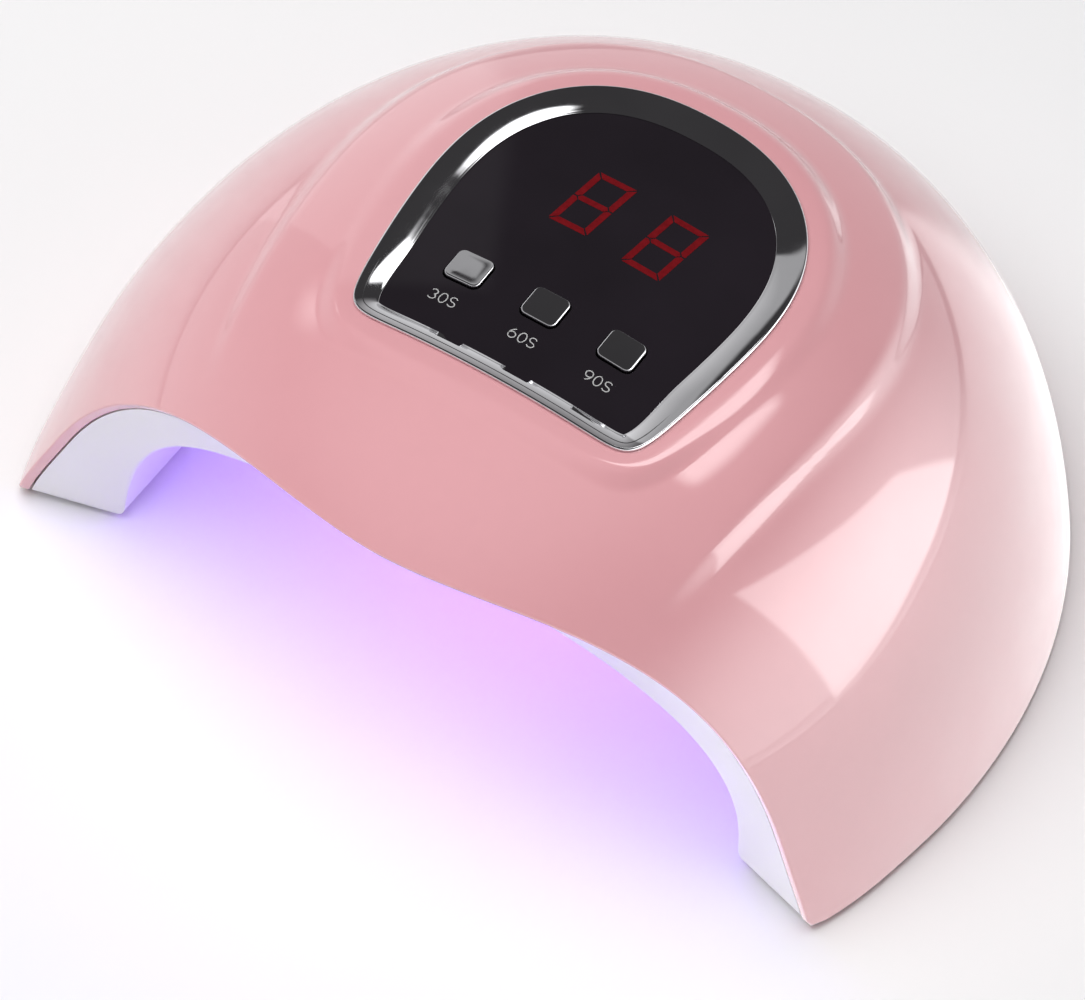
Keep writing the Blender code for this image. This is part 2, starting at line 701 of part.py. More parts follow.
def make_button(name, x, chrome, rubber, plastic):
    """Cap, plunger and switch on one vertical axis."""
    top = panel_top(x, BUTTON_Y)
    under = top - PANEL_THICKNESS - 1.0
    crest = top + CAP_PROUD
    width, depth = CAP_SIZE
    flange = (width + 2 * CAP_FLANGE, depth + 2 * CAP_FLANGE)
    face = (width - 2 * CAP_FLANGE, depth - 2 * CAP_FLANGE)
    shoulder = under - CAP_FLANGE_THICKNESS
    levels = (
        (STEM_WIDTH, STEM_WIDTH, STEM_BOTTOM, 0.5),
        (STEM_WIDTH, STEM_WIDTH, shoulder, 0.5),
        (*flange, shoulder, CAP_CORNER),
        (*flange, under, CAP_CORNER),
        (width, depth, under, CAP_CORNER),
        (width, depth, crest - CAP_CHAMFER, CAP_CORNER),
        (*face, crest, CAP_CORNER - CAP_CHAMFER),
    )
    vertices = []
    for level_width, level_depth, height, corner in levels:
        for px, py in rounded_rectangle(level_width, level_depth, corner, 2):
            lean = 0.0
            if height > under:
                lean = panel_top(x + px, BUTTON_Y + py) - top
            vertices.append((x + px, BUTTON_Y + py, height + lean))
    around = len(rounded_rectangle(1.0, 1.0, 0.1, 2))
    axis = (x, BUTTON_Y, top)
    make_object(f"button_cap_{name}", vertices, ring_faces(len(levels), around), chrome, axis, 30.0)
    housing_bottom = BOARD_TOP + GAP
    housing_top = housing_bottom + SWITCH_HEIGHT
    place = (x, BUTTON_Y)
    plunger = straight(PLUNGER_RADIUS, housing_top - 0.8, PLUNGER_TOP)
    turned(f"tact_plunger_{name}", plunger, plastic, (*place, 0.0), sides=10, at=axis)
    housing = block(f"tact_switch_{name}", SWITCH_WIDTH, SWITCH_WIDTH, housing_bottom, housing_top,
                    rubber, place)
    well = straight(SWITCH_BORE_RADIUS, housing_top - 2.2, housing_top + 1.0)
    bore = turned(f"switch_bore_{name}", well, None, (*place, 0.0), sides=12)
    combine(housing, bore, "DIFFERENCE")


# ---------------------------------------------------------------- electronics

def board_posts():
    return [(side * POST_X, y) for y in POST_Y for side in (-1.0, 1.0)]


def make_board(green):
    board = block("control_board", *BOARD_SIZE, BOARD_TOP - BOARD_THICKNESS, BOARD_TOP, green,
                  (0.0, BOARD_Y), 3.0)
    through = straight(BOARD_HOLE_RADIUS, BOARD_TOP - 4.0, BOARD_TOP + 2.0)
    holes = [turned(f"board_hole_{i}", through, None, (*place, 0.0), sides=10)
             for i, place in enumerate(board_posts())]
    combine(board, merge_meshes("board_cutter", holes), "DIFFERENCE")


def make_board_screws(steel):
    under = BOARD_TOP - BOARD_THICKNESS - GAP
    head = BOARD_SCREW_HEAD
    shank = straight(1.0, under, BOARD_TOP + 2.6)
    profile = [(head - 1.0, under - 1.6), (head, under - 1.1), (head, under), *shank]
    for index, place in enumerate(board_posts()):
        turned(f"board_screw_{index + 1}", profile, steel, (*place, 0.0), sides=10)


def make_electronics(dark, metal, tinted):
    bottom = BOARD_TOP + GAP
    under = BOARD_TOP - BOARD_THICKNESS - GAP
    block("digit_display", 38.0, 22.0, bottom, 85.4, tinted, DISPLAY_PLACE, 0.6)
    block("microcontroller", 10.0, 7.5, bottom, bottom + 1.8, dark, (-29.0, -6.0), 0.3)
    block("power_inductor", 9.0, 9.0, under - 4.5, under, metal, (-16.0, 12.0), 1.8)
    can_profile = [(3.8, under - 8.5), (4.0, under - 8.1), (4.0, under)]
    turned("filter_capacitor", can_profile, metal, (16.0, 12.0, 0.0), sides=14)


# ---------------------------------------------------------------- LED strips

def arch_point(angle, y):
    """A point of the cavity wall at a polar angle in the plane across the lamp."""
    ray = np.array([[math.cos(math.radians(angle)) * LINER_HALF_WIDTH / LINER_HEIGHT, 0.0,
                     math.sin(math.radians(angle))]])
    ray /= np.linalg.norm(ray)
    return march(liner_level, np.array([0.0, y, 0.0]), ray)[0]


def bead_places():
    places = []
    for _, y in STRIP_STATIONS:
        for angle in BEAD_ANGLES:
            point = arch_point(angle, y)
            places.append((point, normals_of(liner_level, point[None])[0]))
    return places


def make_strip(name, y, material):
    """A flexible board that follows the outside of the liner over the cavity."""
    angles = np.linspace(*STRIP_SPREAD, 25)
    layers = []
    for offset in (STRIP_OFFSET, STRIP_OFFSET + STRIP_THICKNESS):
        for shift in (-STRIP_HALF_WIDTH, STRIP_HALF_WIDTH):
            points = np.array([arch_point(angle, y + shift) for angle in angles])
            layers.append(points + normals_of(liner_level, points) * offset)
    order = (0, 1, 3, 2)
    vertices = [layers[layer][step] for step in range(len(angles)) for layer in order]
    return make_object(f"led_strip_{name}", vertices, ring_faces(len(angles), 4), material)


def make_bead(name, point, normal, material):
    base = LINER_THICKNESS + 0.1
    profile = [(0.6, -1.1), (1.8, -0.7), (2.6, 0.1), (BEAD_RADIUS, 0.3), (BEAD_RADIUS, base)]
    turned(name, profile, material, tuple(point), tuple(normal), 12)


# ---------------------------------------------------------------- fixings and small pieces

def inlet_centre():
    back = march(shell_level, np.array([0.0, 0.0, INLET_Z]), np.array([[0.0, 1.0, 0.0]]))[0]
    return 0.0, float(back[1]), INLET_Z


def make_inlet(dark):
    """A barrel socket whose mouth is flush with the back of the shell."""
    x, y, z = inlet_centre()
    backwards = (0.0, 1.0, 0.0)
    barrel = INLET_RADIUS - 0.8
    profile = [(barrel, -13.0), (barrel, -5.0), (INLET_RADIUS, -5.0), (INLET_RADIUS, 0.4)]
    inlet = turned("dc_inlet", profile, dark, (x, y, z), backwards, 20)
    mouth = turned("inlet_mouth", straight(INLET_MOUTH_RADIUS, -10.0, 2.0), None, (x, y, z), backwards, 16)
    pin = turned("inlet_pin", straight(INLET_PIN_RADIUS, -11.0, -1.5), None, (x, y, z), backwards, 8)
    combine(inlet, mouth, "DIFFERENCE")
    combine(inlet, pin, "UNION")


def make_shell_screws(fixings, steel):
    top = LINER_FLOOR_Z - GAP
    head = SCREW_HEAD_RADIUS
    shank = straight(SCREW_RADIUS, top, 18.0)
    profile = [(head - 0.8, 0.5), (head, 0.9), (head, top), *shank, (0.6, 19.5)]
    for index, centre in enumerate(fixings):
        turned(f"shell_screw_{index + 1}", profile, steel, (*centre, 0.0), sides=10)


def make_feet(places, rubber):
    top = LINER_FLOOR_Z - GAP
    profile = [(FOOT_RADIUS - 0.5, 0.0), (FOOT_RADIUS, 0.5), (FOOT_RADIUS, top)]
    for index, centre in enumerate(places):
        turned(f"foot_{index + 1}", profile, rubber, (*centre, 0.0), sides=16)


def sensor_place():
    return 0.0, SENSOR_Y, LINER_HEIGHT


def make_sensor(dark, green):
    x, y, z = sensor_place()
    base = z + LINER_THICKNESS + 0.6
    radius = SENSOR_RADIUS
    profile = [(radius - 1.3, z - 0.9), (radius - 0.3, z - 0.3), (radius, z + 0.4), (radius, base - GAP)]
    turned("ir_sensor", profile, dark, (x, y, 0.0), sides=12)
    block("sensor_board", 16.0, 10.0, base, base + 1.2, green, (x, y), 0.6)


def make_leads(red, black):
    back = inlet_centre()[1]
    board_under = BOARD_TOP - BOARD_THICKNESS - 0.7
    roof = LINER_HEIGHT + STRIP_OFFSET + STRIP_THICKNESS + 0.8
    rear_roof = arch_point(90.0, 30.0)[2] + STRIP_OFFSET + STRIP_THICKNESS + 1.6
    side = -8.0
    routes = {
        "power_lead": ((0.0, back - 14.2, INLET_Z), (0.0, back - 17.0, 20.0), (0.0, 73.0, 34.0),
                       (0.0, 62.0, 52.0), (0.0, 42.0, 63.0), (0.0, 20.0, 68.0),
                       (0.0, 14.0, board_under - 1.2)),
        "led_lead_front": ((side, -46.0, roof), (side, -44.0, 68.0), (side, -40.0, board_under)),
        "led_lead_middle": ((side, -10.0, roof), (side, -12.0, 68.0), (side, -14.0, board_under)),
        "led_lead_rear": ((side, 29.0, rear_roof), (side, 27.0, 66.0), (side, 18.0, board_under)),
        "sensor_lead": ((5.0, -72.0, roof), (5.0, -68.0, 67.5), (5.0, -56.0, 70.0),
                        (5.0, -46.0, board_under)),
    }
    radii = {"power_lead": POWER_WIRE, "sensor_lead": SENSOR_WIRE}
    for name, route in routes.items():
        tube(name, route, radii.get(name, LED_WIRE), black if name == "power_lead" else red)


def main():
    clear_scene()
    pink = make_material("pink gloss shell", (0.78, 0.40, 0.42), 0.18)
    white = make_material("white liner", (0.85, 0.85, 0.85), 0.35)
    chrome = make_material("chrome", (0.75, 0.75, 0.77), 0.08, 1.0)
    gloss = make_material("black gloss panel", (0.012, 0.011, 0.013), 0.05)
    green = make_material("circuit board", (0.02, 0.16, 0.07), 0.45)
    board_white = make_material("white circuit board", (0.75, 0.76, 0.74), 0.4)
    dark = make_material("black component", (0.02, 0.02, 0.022), 0.4)
    steel = make_material("zinc plated steel", (0.55, 0.56, 0.58), 0.3, 1.0)
    rubber = make_material("grey rubber", (0.16, 0.16, 0.17), 0.85)
    lens = make_material("violet lens", (0.62, 0.50, 0.85), 0.1)
    red = make_material("red wire", (0.45, 0.03, 0.03), 0.45)
    tinted = make_material("red display", (0.145, 0.0055, 0.008), 0.3)

    rim = rim_loop()
    floor = liner_floor(rim)
    fixings = around_rim(rim, floor, FIXING_STEPS)
    rests = around_rim(rim, floor, FOOT_STEPS)

    make_shell(rim, fixings, pink)
    make_liner(rim, floor, fixings, white)
    make_bezel(chrome)
    make_panel(gloss)
    for name, x in zip(BUTTON_NAMES, button_columns()):
        make_button(name, x, chrome, dark, dark)
    make_board(green)
    make_board_screws(steel)
    make_electronics(dark, steel, tinted)
    for name, y in STRIP_STATIONS:
        make_strip(name, y, board_white)
    for index, (point, normal) in enumerate(bead_places()):
        station = STRIP_STATIONS[index // len(BEAD_ANGLES)][0]
        make_bead(f"led_bead_{station}_{index % len(BEAD_ANGLES) + 1}", point, normal, lens)
    make_inlet(dark)
    make_shell_screws(fixings, steel)
    make_feet(rests, rubber)
    make_sensor(dark, green)
    make_leads(red, dark)


main()
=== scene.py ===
"""Looks of the UV LED nail lamp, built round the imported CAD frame.

The shape formulas work in millimetres, in the frame's axes; make_piece turns them into
metres. The hand enters from -Y and +Z is up.
"""

import json
import math

import bmesh
import bpy
import numpy as np
from mathutils import Matrix, Vector


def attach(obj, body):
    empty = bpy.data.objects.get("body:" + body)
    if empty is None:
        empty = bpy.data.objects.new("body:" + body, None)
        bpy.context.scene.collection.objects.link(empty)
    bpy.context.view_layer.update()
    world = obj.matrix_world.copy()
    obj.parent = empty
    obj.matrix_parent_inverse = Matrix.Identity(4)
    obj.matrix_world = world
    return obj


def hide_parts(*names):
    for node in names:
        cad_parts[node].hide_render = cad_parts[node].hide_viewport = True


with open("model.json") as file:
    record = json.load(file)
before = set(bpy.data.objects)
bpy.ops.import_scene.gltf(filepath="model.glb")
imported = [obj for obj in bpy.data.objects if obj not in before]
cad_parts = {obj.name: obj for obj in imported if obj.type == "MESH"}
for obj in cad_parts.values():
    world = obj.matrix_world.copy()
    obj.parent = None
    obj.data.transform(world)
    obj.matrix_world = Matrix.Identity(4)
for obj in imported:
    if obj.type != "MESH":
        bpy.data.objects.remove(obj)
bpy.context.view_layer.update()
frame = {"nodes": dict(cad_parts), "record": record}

MM = 0.001
GAP = 0.3

# outer shell: a superellipsoid whose centre lies below the ground
SHELL_HALF_WIDTH = 105.06
SHELL_FRONT_REACH = 111.28
SHELL_BACK_REACH = 120.52
SHELL_MIDDLE_Y = -22.58
SHELL_CENTRE_Z = -46.75
SHELL_RISE = 138.40
PLAN_POWER = 2.073
RISE_POWER = 2.515
SHELL_THICKNESS = 2.2
RIM_Z = 1.5
RIM_CORNER = 2.5
EDGE_RADIUS = 0.55

# the two feet of the entrance flare out a little
FLARE = 0.018
FLARE_HEIGHT = 26.0
FLARE_Y = (-40.0, -75.0)
FLARE_REACH = 2.8

# the entrance is cut by a curved face: y = LIP_Y + slope + sweep + lean
LIP_Y = -127.99
LIP_SLOPE = 0.174
LIP_SWEEP = 73.26
LIP_LEAN = 29.77
LIP_LEAN_HEIGHT = 82.0

# control panel outline: round at the back, tapering to a straight front edge. Each shield
# below is (half width, reach to the back, reach to the front, power of the front corners)
SHIELD_Y = -16.0
SHIELD_BACK_POWER = 2.35
SHIELD_TAPER = 0.136
SHIELD_TAPER_POWER = 1.55
BEZEL_SHIELD = (38.0, 41.0, 41.6, 14.0)
BEZEL_TOP_Z = 91.8
BEZEL_TOP_Y = -15.0
BEZEL_ARCH_X = 400.0
BEZEL_ARCH_Y = 800.0
PLATEAU_DROP = 0.9
HOLE_INSET = 1.2

# raised plateau round the bezel and the wider ridge round that
PLATEAU_SHIELD = (41.5, 45.5, 45.0, 8.0)
RIDGE_SHIELD = (56.5, 61.0, 70.0, 8.0)
PLATEAU_STEP = 5.0
RIDGE_STEP = 4.5
RIDGE_SHARE = 0.30
RIDGE_FADE = (-40.0, -80.0)

# inner liner: a tunnel with a rounded back end
LINER_HALF_WIDTH = 72.5
LINER_HEIGHT = 61.0
LINER_Y = -30.0
LINER_BACK_REACH = 104.0
LINER_POWER = 2.2
LINER_THICKNESS = 1.8
LINER_FLOOR_Z = 2.0
MOUTH_FOOT_Y = -65.5
MOUTH_LEAN = 0.0042
LIP_RECESS = 1.0
EDGE_CLEARANCE = 0.35        # the dressed liner closes up to the shell, so no dark gap shows

# mesh columns round the shell and rings from the panel opening to the rim
LIP_COLUMNS = 78
GROUND_COLUMNS = 60
CAD_LIP_COLUMNS = 13
CAD_GROUND_COLUMNS = 15
SHELL_RINGS = 84
LINER_RINGS = 46

# panel and buttons
PANEL_DEPTH = 2.5
PANEL_INSET = 3.4
PANEL_THICKNESS = 1.5
BUTTON_SPACING = 17.5
BUTTON_Y = -36.3
BUTTON_NAMES = ("30s", "60s", "90s")
CAP_SIZE = (8.0, 7.5)
CAP_PROUD = 0.9
CAP_CORNER = 1.5

# LED arches over the liner
STRIP_STATIONS = (("front", -48.0), ("middle", -8.0), ("rear", 30.0))
BEAD_ANGLES = (20.0, 47.0, 76.0, 104.0, 133.0, 160.0)
BEAD_RADIUS = 3.2
BEAD_HOLE_RADIUS = 3.7
INLET_Z = 14.0
INLET_HOLE_RADIUS = 5.7
FOOT_RADIUS = 5.0
SENSOR_Y = -74.0
SENSOR_HOLE_RADIUS = 2.9
SCREW_HOLE_RADIUS = 1.7
SCREW_PITCH = 1.1
SCREW_TURNS = 14
BOSS_RADII = (1.6, 3.6)
BOSS_HOLE_TOP = 22.0

# dressing of the ring, the caps, the digits and the printed labels
CLIP_SLOTS = ((-14.0, -8.4), (1.3, 7.1), (16.9, 23.0))
CLIP_SLOT_DEPTH = 2.6
CLIP_SLOT_INSET = 4.7
CAP_FLANGE = 1.4
CAP_ROLL = 0.5
CAP_FACE_INSET = 1.15
CAP_STEM = (2.0, 2.0, 81.4, 0.5)             # width, depth, foot height, corner
DIGIT_CENTRES = {"left": (-6.75, -8.1), "right": (10.65, -9.2)}
LABEL_Y = -44.9
LABEL_SIZE = 0.98
LABEL_PITCH = 2.15
LABEL_STROKE = 0.22
LABEL_X = (-17.9, 0.2, 17.5)

# middles that the sheets are seen from, the shares of the liner's flange and wall that have
# plain rings, and how far the rays look
SHELL_MIDDLE = (0.0, -10.0, RIM_Z)
LINER_MIDDLE = (0.0, -22.0, 0.0)
FLANGE_SHARE = 0.93
WALL_SHARES = (0.022, 0.985)
HALVINGS = 34
RAY_REACH = 260.0
OUTLINE_REACH = 140.0
LIP_SEARCH = (20.0, 125.0)

# camera: degrees, metres, and a focal length in widths of the sensor
CAMERA_TURNS = (26.264, 50.0, 7.914)         # azimuth, elevation, roll
CAMERA_DISTANCE = 1.845
CAMERA_TARGET = (0.0, -0.0438, 0.03225)
CAMERA_AIM = (0.04027, 0.01712)              # aim right of and above the target, in sensor widths
FOCAL_WIDTHS = 8.6162
SENSOR_WIDTH = 36.0

# cards seen only in reflections: name, corners in metres, strength, width of the soft border
CARDS = (
    ("right_softbox", ((0.768, 0.070, 0.011), (0.494, 0.563, 0.048), (0.550, 0.447, 0.259),
                       (0.614, -0.074, 0.491)), 2.2, 0.05),
    ("right_wall", ((1.1, -1.0, -0.7), (0.5, 1.3, -0.7), (0.5, 1.3, 0.8), (1.1, -1.0, 0.8)), 1.7, 0.4),
    ("right_ground", ((0.03, -0.6, 0.002), (1.0, -0.6, 0.002), (0.55, 1.1, 0.002),
                      (0.03, 1.1, 0.002)), 0.8, 0.06),
    ("top_softbox", ((-0.012, 0.10, 1.0), (0.45, 0.10, 1.0), (0.45, 0.70, 1.0), (0.12, 0.70, 1.0)),
     3.2, 0.15),
    ("left_panel", ((-1.7, 0.8, 0.0), (-0.62, 0.8, 0.0), (-0.62, 0.8, 1.43), (-1.7, 0.8, 1.43)),
     0.38, 0.06),
    ("left_strip", ((-0.7, -0.04, 0.5), (-0.7, 0.22, 0.5), (-0.7, 0.22, 0.72), (-0.7, -0.04, 0.72)),
     1.4, 0.5),
)


# ---------------- shape formulas

def smooth_step(value, start, end):
    t = np.clip((value - start) / (end - start), 0.0, 1.0)
    return t * t * (3.0 - 2.0 * t)


def plan_radius(x, y):
    """1 on the shell's widest outline, seen from above."""
    reach = np.where(y < SHELL_MIDDLE_Y, SHELL_FRONT_REACH, SHELL_BACK_REACH)
    across = (np.abs(x) / SHELL_HALF_WIDTH) ** PLAN_POWER
    along = (np.abs(y - SHELL_MIDDLE_Y) / reach) ** PLAN_POWER
    return (across + along) ** (1.0 / PLAN_POWER)


def dome_top(x, y):
    inside = np.clip(1.0 - plan_radius(x, y) ** RISE_POWER, 0.0, 1.0)
    return SHELL_CENTRE_Z + SHELL_RISE * inside ** (1.0 / RISE_POWER)


def bezel_top(x, y):
    return BEZEL_TOP_Z - x * x / BEZEL_ARCH_X - (y - BEZEL_TOP_Y) ** 2 / BEZEL_ARCH_Y


def panel_top(x, y):
    return bezel_top(x, y) - PANEL_DEPTH


def shield_gauge(x, y, half, back, front, corner):
    """1 on a shield outline, less inside it."""
    along = y - SHIELD_Y
    depth = np.clip(-along / front, 0.0, 1.0)
    narrowed = np.abs(x) / (1.0 - SHIELD_TAPER * depth ** SHIELD_TAPER_POWER)
    power = np.where(along > 0.0, SHIELD_BACK_POWER, corner)
    reach = np.where(along > 0.0, back, front)
    return ((narrowed / half) ** power + (np.abs(along) / reach) ** power) ** (1.0 / power)


def outside_shield(x, y, shield):
    gauge = np.maximum(shield_gauge(x, y, *shield), 0.01)
    return np.hypot(x, y - SHIELD_Y) * (1.0 - 1.0 / gauge)


def lift(x, y):
    """How far the plateau and the ridge stand above the plain dome."""
    rise = bezel_top(x, y) - PLATEAU_DROP - dome_top(x, y)
    plateau = 1.0 - smooth_step(outside_shield(x, y, PLATEAU_SHIELD), 0.0, PLATEAU_STEP)
    ridge = 1.0 - smooth_step(outside_shield(x, y, RIDGE_SHIELD), 0.0, RIDGE_STEP)
    fade = 1.0 - smooth_step(-y, -RIDGE_FADE[0], -RIDGE_FADE[1])
    return rise * (plateau + (1.0 - plateau) * RIDGE_SHARE * ridge * fade)


def flare(y, z):
    """1 at the feet of the entrance, fading upwards and towards the back."""
    low = 1.0 - smooth_step(z, RIM_Z, RIM_Z + FLARE_HEIGHT)
    return low * smooth_step(-y, -FLARE_Y[0], -FLARE_Y[1])


def shell_level(points):
    """Below 0 inside the shell's outer surface."""
    x, y, z = points[..., 0], points[..., 1], points[..., 2]
    up = np.abs(z - lift(x, y) - SHELL_CENTRE_Z) / SHELL_RISE
    radius = plan_radius(x, y) / (1.0 + FLARE * flare(y, z))
    return radius ** RISE_POWER + up ** RISE_POWER - 1.0


def liner_level(points):
    """Below 0 inside the hand cavity."""
    x, y, z = points[..., 0], points[..., 1], points[..., 2]
    along = np.clip(y - LINER_Y, 0.0, None) / LINER_BACK_REACH
    across = np.abs(x) / LINER_HALF_WIDTH
    up = np.abs(z) / LINER_HEIGHT
    return across ** LINER_POWER + along ** LINER_POWER + up ** LINER_POWER - 1.0


def halve(inside, low, high):
    """The farthest distances that are still inside, found by halving the range."""
    for _ in range(HALVINGS):
        middle = 0.5 * (low + high)
        within = inside(middle)
        low = np.where(within, middle, low)
        high = np.where(within, high, middle)
    return low


def march(level, origin, directions):
    """Where rays from a point inside reach the surface."""
    shape = directions.shape[:-1]
    reach = halve(lambda t: level(origin + directions * t[..., None]) < 0.0,
                  np.zeros(shape), np.full(shape, RAY_REACH))
    return origin + directions * reach[..., None]


def normals_of(level, points):
    steps = np.eye(3) * 0.02
    slopes = [level(points + step) - level(points - step) for step in steps]
    gradient = np.stack(slopes, axis=-1)
    return gradient / np.linalg.norm(gradient, axis=-1, keepdims=True)


def unit(vectors):
    return vectors / np.linalg.norm(vectors, axis=-1, keepdims=True)


def resample(points, count, closed=False):
    """Points at even arc length along a polyline."""
    path = np.vstack([points, points[:1]]) if closed else points
    lengths = np.linalg.norm(np.diff(path, axis=0), axis=1)
    distance = np.concatenate([[0.0], np.cumsum(lengths)])
    stations = np.linspace(0.0, distance[-1], count + 1 if closed else count)
    stations = stations[:-1] if closed else stations
    return np.stack([np.interp(stations, distance, axis) for axis in path.T], axis=1)


def shield_outline(shield, count=1800):
    """Closed outline from the front centre towards +X."""
    angle = np.radians(np.linspace(-90.0, 270.0, count, endpoint=False))
    ray = np.stack([np.cos(angle), np.sin(angle)], axis=1)
    reach = halve(lambda t: shield_gauge(ray[:, 0] * t, SHIELD_Y + ray[:, 1] * t, *shield) < 1.0,
                  np.zeros(count), np.full(count, OUTLINE_REACH))
    return ray * reach[:, None] + np.array([0.0, SHIELD_Y])


def bezel_base(count):
    """Points round the bezel's outer edge and the directions that point inwards there."""
    outline = resample(shield_outline(BEZEL_SHIELD), count, closed=True)
    tangent = unit(np.roll(outline, -1, axis=0) - np.roll(outline, 1, axis=0))
    return outline, np.stack([-tangent[:, 1], tangent[:, 0]], axis=1)


def lip_face(x, z):
    height = z - RIM_Z
    sweep = LIP_SWEEP * (x / SHELL_HALF_WIDTH) ** 2
    lean = LIP_LEAN * (height / LIP_LEAN_HEIGHT) ** 2
    face = LIP_Y + LIP_SLOPE * height + sweep + lean
    return face - FLARE_REACH * flare(face, z)


def lip_curve(count=600):
    """Right half of the entrance edge, from its top centre down to the right foot."""
    angle = np.radians(np.linspace(90.0, 0.0, count))

    def point(distance):
        x, z = np.cos(angle) * distance, RIM_Z + np.sin(angle) * distance
        return np.stack([x, lip_face(x, z), z], axis=1)

    low, high = (np.full(count, reach) for reach in LIP_SEARCH)
    return point(halve(lambda t: shell_level(point(t)) < 0.0, low, high))


def ground_curve(foot, count=500):
    """Right half of the rim on the ground, from the right foot to the back centre."""
    start = math.atan2(foot[1] - SHELL_MIDDLE_Y, foot[0])
    angle = np.linspace(start, math.pi / 2.0, count)
    rays = np.stack([np.cos(angle), np.sin(angle), np.zeros(count)], axis=1)
    return march(shell_level, np.array([0.0, SHELL_MIDDLE_Y, RIM_Z]), rays)


def round_corner(lip, ground):
    """Shorten both curves at the foot and join them with a small arc."""
    lip_cut = resample(lip, 900)
    ground_cut = resample(ground, 900)
    keep_lip = np.linalg.norm(lip_cut - lip[-1], axis=1) > RIM_CORNER
    keep_ground = np.linalg.norm(ground_cut - lip[-1], axis=1) > RIM_CORNER
    start = lip_cut[keep_lip][-1]
    end = ground_cut[keep_ground][0]
    t = np.linspace(0.0, 1.0, 17)[1:-1, None]
    arc = (1 - t) ** 2 * start + 2 * t * (1 - t) * lip[-1] + t ** 2 * end
    corner = len(arc) // 2
    lip_part = np.vstack([lip_cut[keep_lip], arc[:corner + 1]])
    return lip_part, np.vstack([arc[corner:], ground_cut[keep_ground]])


def mirrored_loop(half):
    """A closed loop from its right half, which starts and ends on the middle plane."""
    left = half[1:-1][::-1] * np.array([-1.0, 1.0, 1.0])
    return np.vstack([half, left])


def rim_loop(lip_columns, ground_columns):
    lip = lip_curve()
    lip_part, ground_part = round_corner(lip, ground_curve(lip[-1]))
    half = np.vstack([
        resample(lip_part, lip_columns + 1),
        resample(ground_part, ground_columns + 1)[1:],
    ])
    return mirrored_loop(half)


def swing(origin, start, end, share):
    """Directions that turn from start to end as share goes from 0 to 1."""
    a = unit(start - origin)
    b = unit(end - origin)
    angle = np.arccos(np.clip(np.sum(a * b, axis=-1), -1.0, 1.0))[..., None]
    return (np.sin((1.0 - share) * angle) * a + np.sin(share * angle) * b) / np.sin(angle)


def liner_arc(angle):
    """Cosine and sine, carried out to the cavity's rounder outline."""
    across, along = math.cos(angle), math.sin(angle)
    size = (across ** LINER_POWER + along ** LINER_POWER) ** (-1 / LINER_POWER)
    return size * across, size * along


def liner_edge(share, side):
    """A point on the cavity's floor outline, from the foot to the back centre."""
    straight = LINER_Y - MOUTH_FOOT_Y
    quarter = 0.5 * math.pi * 0.5 * (LINER_HALF_WIDTH + LINER_BACK_REACH)
    travel = share * (straight + quarter)
    if travel < straight:
        return side * LINER_HALF_WIDTH, MOUTH_FOOT_Y + travel, LINER_FLOOR_Z
    across, along = liner_arc(0.5 * math.pi * (travel - straight) / quarter)
    return side * LINER_HALF_WIDTH * across, LINER_Y + LINER_BACK_REACH * along, LINER_FLOOR_Z


def liner_floor(rim, lip_columns, ground_columns):
    """Where the cavity wall meets the flange, one point for each column."""
    count = len(rim)
    points = np.zeros((count, 3))
    for index in range(count):
        x, _, z = rim[index]
        column = min(index, count - index)
        if column <= lip_columns:
            angle = math.atan2(max(z - RIM_Z, 0.0) / LINER_HEIGHT, abs(x) / LINER_HALF_WIDTH)
            across, up = liner_arc(angle)
            height = LINER_HEIGHT * up
            points[index] = (math.copysign(LINER_HALF_WIDTH * across, x),
                             MOUTH_FOOT_Y - MOUTH_LEAN * height ** 2, height)
        else:
            share = (column - lip_columns) / ground_columns
            points[index] = liner_edge(share, math.copysign(1.0, x))
    points[:, 2] = np.maximum(points[:, 2], LINER_FLOOR_Z)
    return points


def arch_point(angle, y):
    """A point of the cavity wall at a polar angle in the plane across the lamp."""
    ray = np.array([[math.cos(math.radians(angle)) * LINER_HALF_WIDTH / LINER_HEIGHT, 0.0,
                     math.sin(math.radians(angle))]])
    return march(liner_level, np.array([0.0, y, 0.0]), unit(ray))[0]


def inlet_centre():
    back = march(shell_level, np.array([0.0, 0.0, INLET_Z]), np.array([[0.0, 1.0, 0.0]]))[0]
    return 0.0, float(back[1]), INLET_Z


def sensor_place():
    return 0.0, SENSOR_Y, LINER_HEIGHT


# ---------------- materials

def colour_ramp(tree, value, stops):
    node = tree.nodes.new("ShaderNodeValToRGB")
    elements = node.color_ramp.elements
    while len(elements) < len(stops):
        elements.new(0.5)
    for element, (position, colour) in zip(elements, stops):
        element.position = position
        element.color = (*colour, 1.0)
    tree.links.new(value, node.inputs["Fac"])
    return node.outputs["Color"]


